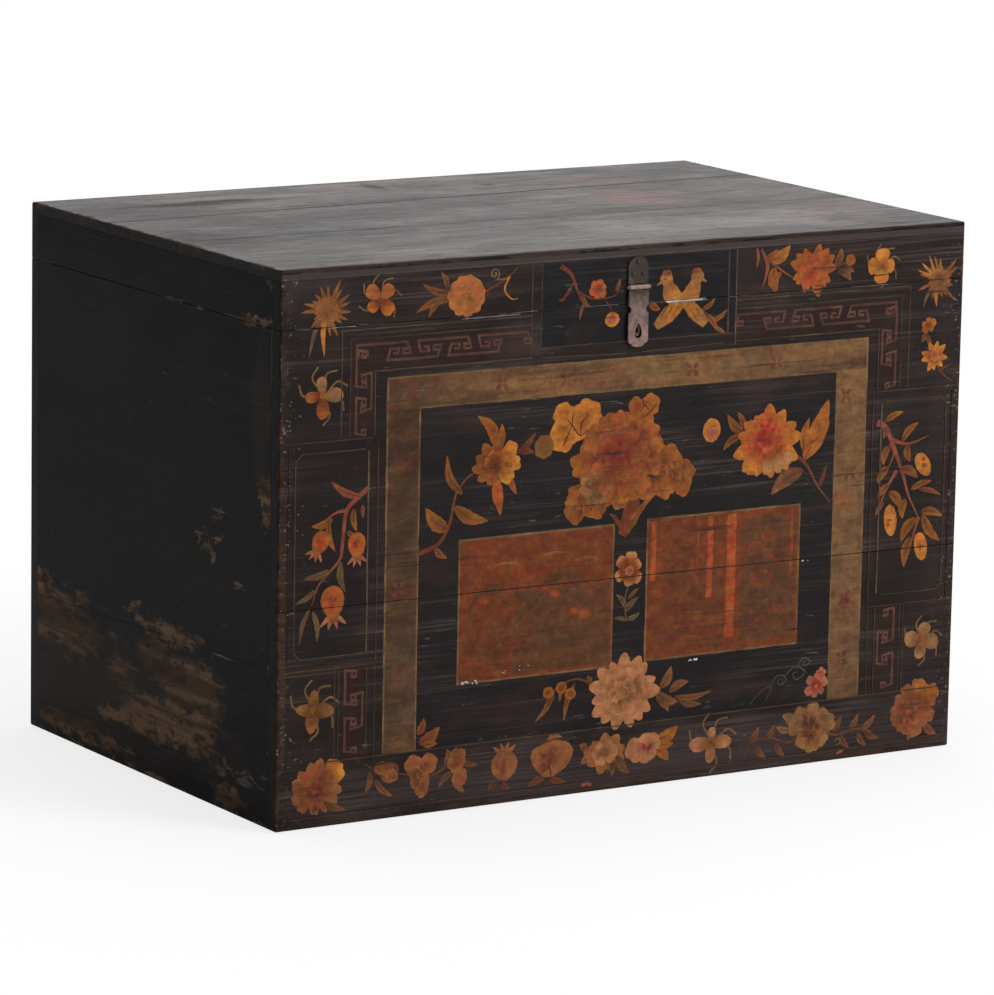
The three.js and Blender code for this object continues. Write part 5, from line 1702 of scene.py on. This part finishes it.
        brush.blobs(
            Scheme.BUFF, (466, 574, 15, 16, 85), (482, 568, 13, 17, 85), (478, 580, 11, 15, 85), lobes=5, dent=0.14)
        brush.dapples((476, 573), (14, 7), 8, 5, Scheme.PINKISH)
        self.lay("bottom_pair", brush)
        brush = Brush(seed=105)
        brush.cross_flower((567, 577), 27, Scheme.BUFF, 47, None, 0.58, -0.1)
        self.lay("bottom_cross_flower", brush)
        brush = Brush(seed=106)
        brush.stroke([(612, 598), (622, 582), (648, 580), (676, 588), (704, 574), (738, 586), (768, 582), (790, 588)],
                     2.6, Scheme.TWIGS, Taper.EVEN, 1, 40)
        feet = zip((620, 630, 642, 656, 734, 746, 758, 770), (-1, 1) * 4)
        brush.leaves(Scheme.WITHERED, *((u, 584 + 3 * way, u + 12, 584 + 19 * way, 8.5, 2) for u, way in feet),
                     opacity=0.85)
        brush.leaves(Scheme.HUSK, (680, 566, 664, 556, 12, 2), (676, 574, 656, 568, 9, -2))
        brush.leaves(Scheme.WITHERED, (774, 584, 794, 568, 9, 2), (780, 586, 800, 596, 9, 2))
        brush.petals((706, 572), 8, 8, 24, 22, Scheme.HUSK, 0, 0.95, 5, 0.2)
        brush.petals((704, 574), 7, 2, 20, 16, Scheme.MUTED, 25, 0.95, 5, 0.2)
        brush.dapples((704, 572), (18, 16), 12, 5, Scheme.WITHERED)
        brush.stroke([(738, 594), (742, 590), (746, 595), (741, 599)], 1.5, Pigment.OCHRE, Taper.EVEN, 0.8)
        self.lay("vine_right", brush)
        brush = Brush(seed=107)
        brush.leaves(Scheme.PEACH, (864, 586, 882, 600, 10, 2), (850, 590, 842, 604, 9, 1), opacity=0.75)
        heart = (844, 570, 36)
        brush.petals((848, 566), 11, 12, 22, 19, Scheme.MUTED, 40, 1.0, 5, 0.2, heart)
        brush.petals((860, 556), 4, 3, 18, 17, Scheme.HONEY, 350, 1.0, 5, 0.2, heart, spread=150)
        brush.petals((842, 570), 8, 4, 21, 17, Scheme.PEACH, 200, 0.95, 5, 0.2, (844, 570, 50))
        brush.dapples((840, 572), (18, 16), 14, 5, Scheme.MUTED, (844, 570, 60))
        self.lay("corner_peony_right", brush)
        brush = Brush(seed=108)
        for u, v in ((400, 609), (748, 611)):
            brush.petals((u, v), 3, 0, 8, 8, Scheme.PINKISH, 300, 0.6, 3, 0.1, spread=180)
        self.lay("foot_buds", brush)


# The chest


@dataclass
class Boards:
    """The chest's boards, which keep their CAD shapes."""

    finishes: dict[str, bpy.types.Material]
    iron: tuple[str, ...] = ("nail", "leaf", "pin", "hasp_strap", "hasp_staple")

    def finish_for(self, node: str) -> str:
        """Names the finish of a node."""
        if any(word in node for word in self.iron):
            return "iron"
        if node.startswith("floor"):
            return "bare_x"
        if "batten" in node:
            return "bare_y"
        if node.startswith("top_plank"):
            return "top"
        if "left_board" in node or "lid_left" in node:
            return "left"
        if "right_board" in node or "lid_right" in node:
            return "right"
        return "front" if "front" in node else "back"

    def dress(self) -> None:
        """Gives every CAD node its material."""
        for name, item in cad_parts.items():
            finish_name = self.finish_for(name)
            item.data.materials.clear()
            item.data.materials.append(self.finishes[finish_name])
            LOG.info("%s: %s", name, finish_name)


@dataclass
class Pegs:
    """Small pegs that hold the front boards to the sides, flush but for a hair."""

    finish: bpy.types.Material
    radius: float = 0.0017
    proud: float = 0.00025
    inset: float = 0.0085
    sides: int = 10

    def build(self) -> None:
        """Repeats the pegs up both ends of the front, on the case and on the lid."""
        shape = bmesh.new()
        bmesh.ops.create_cone(shape, cap_ends=True, segments=self.sides, radius1=self.radius,
                              radius2=self.radius * 0.9, depth=self.proud * 2)
        bmesh.ops.rotate(shape, verts=shape.verts, matrix=Matrix.Rotation(math.pi / 2, 3, "X"))
        repeat = Repeat("peg_row", around=False)
        for side, x in (("left", Chest.left + self.inset), ("right", Chest.right - self.inset)):
            for body, low, count, step in (("case", 0.03, 8, 0.068), ("lid", Chest.lid_base + 0.011, 2, 0.028)):
                unit = bpy.data.meshes.new("peg")
                shape.to_mesh(unit)
                mesh = repeat.run(unit, self.finish, count, (x, Chest.front, low), (0, 0, step), 0.0, 0.15, 7)
                place(f"pegs_{side}_{body}", mesh, self.finish, body, "bare_wood")
        shape.free()


@dataclass
class Studio:
    """The pale floor, the soft lamps and the camera."""

    position: tuple[float, float, float] = (-3.4357, -5.5371, 1.5325)
    azimuth: float = -0.5562
    elevation: float = 0.1896
    roll: float = 0.0187
    lens: float = 207.3
    floor_reach: float = 40.0
    floor_fade: tuple[float, float] = (0.55, 1.25)

    def camera(self) -> None:
        """Sets the camera to the photograph's view."""
        az, el = self.azimuth, self.elevation
        forward = Vector((-math.sin(az) * math.cos(el), math.cos(az) * math.cos(el), -math.sin(el)))
        right = Vector((math.cos(az), math.sin(az), 0.0))
        up = right.cross(forward)
        level = math.cos(self.roll) * right + math.sin(self.roll) * up
        upward = math.cos(self.roll) * up - math.sin(self.roll) * right
        turn = Matrix((level, upward, -forward)).transposed()
        data = bpy.data.cameras.new("camera")
        data.lens = self.lens
        data.sensor_width = 36.0
        data.clip_end = 200.0
        item = bpy.data.objects.new("camera", data)
        item.matrix_world = Matrix.Translation(self.position) @ turn.to_4x4()
        bpy.context.scene.collection.objects.link(item)
        bpy.context.scene.camera = item

    def floor(self) -> None:
        """Lays the pale floor."""
        shape = bmesh.new()
        bmesh.ops.create_circle(shape, cap_ends=True, segments=64, radius=self.floor_reach)
        mesh = bpy.data.meshes.new("floor")
        shape.to_mesh(mesh)
        shape.free()
        item = bpy.data.objects.new("floor", mesh)
        item.location.z = -0.0005
        material, tree = new_material("pale_floor")
        away = tree.value("ShaderNodeVectorMath", {0: tree.place()}, "Value", operation="LENGTH")
        matt = tree.value("ShaderNodeBsdfDiffuse", {"Color": (0.9, 0.9, 0.9)})
        white = tree.value("ShaderNodeEmission", {"Color": (1.0, 1.0, 1.0), "Strength": 1.0})
        seen = tree.value("ShaderNodeLightPath", output="Is Camera Ray")
        share = seen * away.rise(*self.floor_fade).blend(0.76, 1.0)
        tree.node("ShaderNodeOutputMaterial", {0: tree.value("ShaderNodeMixShader", {0: share, 1: matt, 2: white})})
        mesh.materials.append(material)
        bpy.context.scene.collection.objects.link(item)

    def lamps(self) -> None:
        """Hangs one broad key lamp and a weaker one over a plain surround."""
        world = bpy.data.worlds.new("surround")
        bpy.context.scene.world = world
        world.use_nodes = True
        tree = Tree(world.node_tree)
        x, y, _ = tree.axes(tree.place("Generated"))
        level = y.rise(-0.4, 0.9).blend(0.42, 0.8) * x.rise(0.2, -0.9).blend(1.0, 0.35)
        strength = tree.value("ShaderNodeLightPath", output="Is Camera Ray").blend(level, 1.0)
        glow = tree.value("ShaderNodeBackground", {"Color": (1.0, 1.0, 1.0), "Strength": strength})
        tree.node("ShaderNodeOutputWorld", {0: glow})
        for name, at, size, power in (("key", (2.2, -3.6, 3.0), 2.6, 150.0), ("overhead", (0.0, 0.4, 3.6), 3.0, 60.0)):
            data = bpy.data.lights.new(name, "AREA")
            data.shape = "DISK"
            data.size = size
            data.energy = power
            item = bpy.data.objects.new(name, data)
            aim = Vector((0, 0, 0.3)) - Vector(at)
            item.matrix_world = Matrix.Translation(at) @ aim.to_track_quat("-Z", "Y").to_matrix().to_4x4()
            bpy.context.scene.collection.objects.link(item)


def patches(corner: Point, *rows: tuple, way: int = 1) -> tuple[Patch, ...]:
    """Gives patches of a face from rows in millimetres.

    Args:
        corner: The corner that they are measured from.
        rows: Place along and down from the corner, half sizes, strength and, for a stain, its tint.
        way: 1 if the places run towards the axis's greater end, -1 if towards its lower one.

    Returns:
        The patches.
    """
    return tuple(Patch((corner[0] + way * u * MM, corner[1] - v * MM), (a * MM, b * MM), *look)
                 for u, v, a, b, *look in rows)


def left_patches() -> tuple[Patch, ...]:
    """Gives the worn patches low on the left side."""
    return patches(
        (Chest.back, Chest.top),
        (385, 500, 100, 52, 1.35), (330, 545, 150, 30, 1.3), (345, 440, 85, 14, 1.2), (255, 430, 26, 12, 0.9),
        (90, 478, 120, 46, 0.8), (25, 440, 40, 26, 1.0), (215, 500, 60, 34, 0.6), (240, 560, 110, 12, 1.2),
        (556, 256, 19, 34, 1.9), (432, 330, 20, 11, 1.7), (452, 314, 12, 6, 1.2), (405, 317, 8, 5, 1.1),
        (480, 600, 60, 16, 1.1), (530, 60, 50, 6, 0.9), (560, 12, 16, 10, 0.8), (500, 568, 80, 5, 1.1),
        (575, 430, 9, 180, 1.0), (575, 110, 8, 60, 0.8), (450, 284, 24, 4, 1.0), (490, 357, 16, 5, 1.0),
        (120, 598, 130, 18, 0.8), (200, 598, 60, 12, 0.9), (300, 470, 60, 26, 0.7), way=-1)


def left_stains() -> tuple[Patch, ...]:
    """Gives the pale scratches and the haze on the left side."""
    pale, haze, brown = (0.125, 0.112, 0.100), (0.013, 0.012, 0.013), (0.026, 0.018, 0.014)
    return patches(
        (Chest.back, Chest.top),
        (60, 450, 13, 2.5, 0.9, pale), (255, 498, 20, 2.2, 0.8, pale), (462, 444, 36, 1.5, 0.8, pale),
        (247, 597, 20, 2.4, 0.7, pale), (495, 357, 13, 3, 0.6, pale), (452, 283, 18, 2, 0.6, pale),
        (448, 315, 10, 2.5, 0.9, pale), (205, 470, 12, 5, 0.5, pale), (510, 575, 20, 5, 0.5, pale),
        (565, 95, 5, 40, 0.5, pale), (120, 110, 200, 120, 0.5, haze), (505, 64, 50, 2, 0.7, pale),
        (180, 540, 330, 90, 0.6, brown), (540, 160, 30, 110, 0.5, brown), way=-1)


def front_stains() -> tuple[Patch, ...]:
    """Gives the dusty and dirty places on the front, in the painting's millimetres."""
    brown, grey, dark = (0.034, 0.021, 0.017), (0.060, 0.047, 0.045), (0.008, 0.006, 0.0055)
    worn, warm, dusty = (0.060, 0.034, 0.021), (0.0075, 0.0048, 0.0038), (0.050, 0.037, 0.035)
    return patches(
        (Chest.left, Chest.top),
        (453, 40, 26, 55, 0.7, grey), (450, 586, 600, 44, 0.55, dusty), (4, 400, 9, 210, 0.45, worn),
        (64, 315, 70, 160, 0.75, warm), (836, 315, 62, 140, 0.5, warm), (4, 150, 8, 80, 0.3, grey),
        (60, 30, 80, 30, 0.15, grey), (880, 300, 30, 330, 0.25, brown), (300, 96, 60, 20, 0.35, grey),
        (60, 410, 60, 40, 0.45, dark), (385, 95, 60, 14, 0.6, dark), (450, 9, 450, 4, 0.75, grey),
        (450, 122, 330, 6, 0.25, dark), (700, 530, 60, 14, 0.35, grey), (30, 90, 26, 70, 0.5, dark),
        (34, 165, 70, 60, 0.75, warm))


def top_stains() -> tuple[Patch, ...]:
    """Gives the stained and reddened places on the top, in millimetres from its rear left corner."""
    red, dark, pale = (0.150, 0.078, 0.066), (0.012, 0.010, 0.009), (0.27, 0.245, 0.24)
    return patches(
        (Chest.left, Chest.back),
        (670, 265, 70, 75, 0.75, red), (700, 110, 90, 60, 0.35, red), (820, 420, 90, 120, 0.3, red),
        (180, 92, 150, 20, 1.0, dark), (50, 340, 60, 90, 0.7, dark), (200, 380, 110, 60, 0.4, dark),
        (425, 50, 14, 34, 0.9, dark), (500, 72, 20, 12, 0.7, dark), (560, 90, 14, 10, 0.7, dark),
        (200, 582, 900, 12, 0.9, dark), (620, 470, 240, 80, 0.35, pale), (800, 560, 60, 16, 0.5, dark),
        (60, 540, 90, 30, 0.5, dark), (60, 250, 150, 330, 0.4, dark), (250, 250, 200, 60, 0.3, dark),
        (560, 330, 120, 24, 0.35, dark), (330, 160, 220, 20, 0.4, dark))


def top_seams() -> tuple[tuple[float, float], ...]:
    """Gives the seams between the top planks at their left and right ends."""
    slanting = (Chest.back - 0.188, Chest.back - 0.142)
    level = corners("top_plank_middle")[0].y + 0.0025
    return slanting, (level, level)


def main() -> None:
    """Builds the studio, dresses the chest and lays the painting."""
    logging.basicConfig(level=logging.INFO, format="%(message)s")
    bpy.context.scene.view_settings.view_transform = "Standard"
    studio = Studio()
    studio.camera()
    studio.floor()
    studio.lamps()
    front = Lacquer("front_lacquer", Face.Y, (0.0125, 0.0072, 0.0060), (0.085, 0.058, 0.050), dust=0.7, scuffs=0.17,
                    flank=(0.0042, 0.0038, 0.0037), seams=((Chest.board_seam + 0.004, Chest.board_seam),),
                    seam_width=0.0008, stains=front_stains())
    back = Lacquer("back_lacquer", Face.Y, (0.012, 0.011, 0.011), (0.05, 0.043, 0.04), dust=0.5, scuffs=0.3)
    left = Lacquer("left_lacquer", Face.X, (0.0046, 0.0044, 0.0044), (0.026, 0.021, 0.019), (0.144, 0.088, 0.055),
                   (0.0042, 0.0038, 0.0037), dust=0.45, scuffs=0.1, specular=0.055, patches=left_patches(),
                   stains=left_stains())
    right = Lacquer("right_lacquer", Face.X, (0.008, 0.0078, 0.008), (0.03, 0.026, 0.024), dust=0.35, scuffs=0.35)
    top = Lacquer("top_lacquer", Face.Z, (0.032, 0.027, 0.025), (0.245, 0.206, 0.188), (0.085, 0.055, 0.043),
                  (0.0045, 0.0042, 0.0041), (0.046, 0.036, 0.033), dust=1.5, scuffs=0.1, roughness=0.36,
                  specular=0.52, bump=0.8, stains=top_stains(), seams=top_seams(), seam_width=0.0045, dimples=9.0,
                  streaks=0.75)
    finishes = {"front": front.material(), "back": back.material(), "left": left.material(),
                "right": right.material(), "top": top.material(), "iron": Iron().material(),
                "bare_x": BareWood("bare_wood").material(),
                "bare_y": BareWood("bare_wood_across", along_x=False).material()}
    Boards(finishes).dress()
    Painting(Paint(front).material()).build()
    Pegs(PegWood().material()).build()


if __name__ == "__main__":
    main()
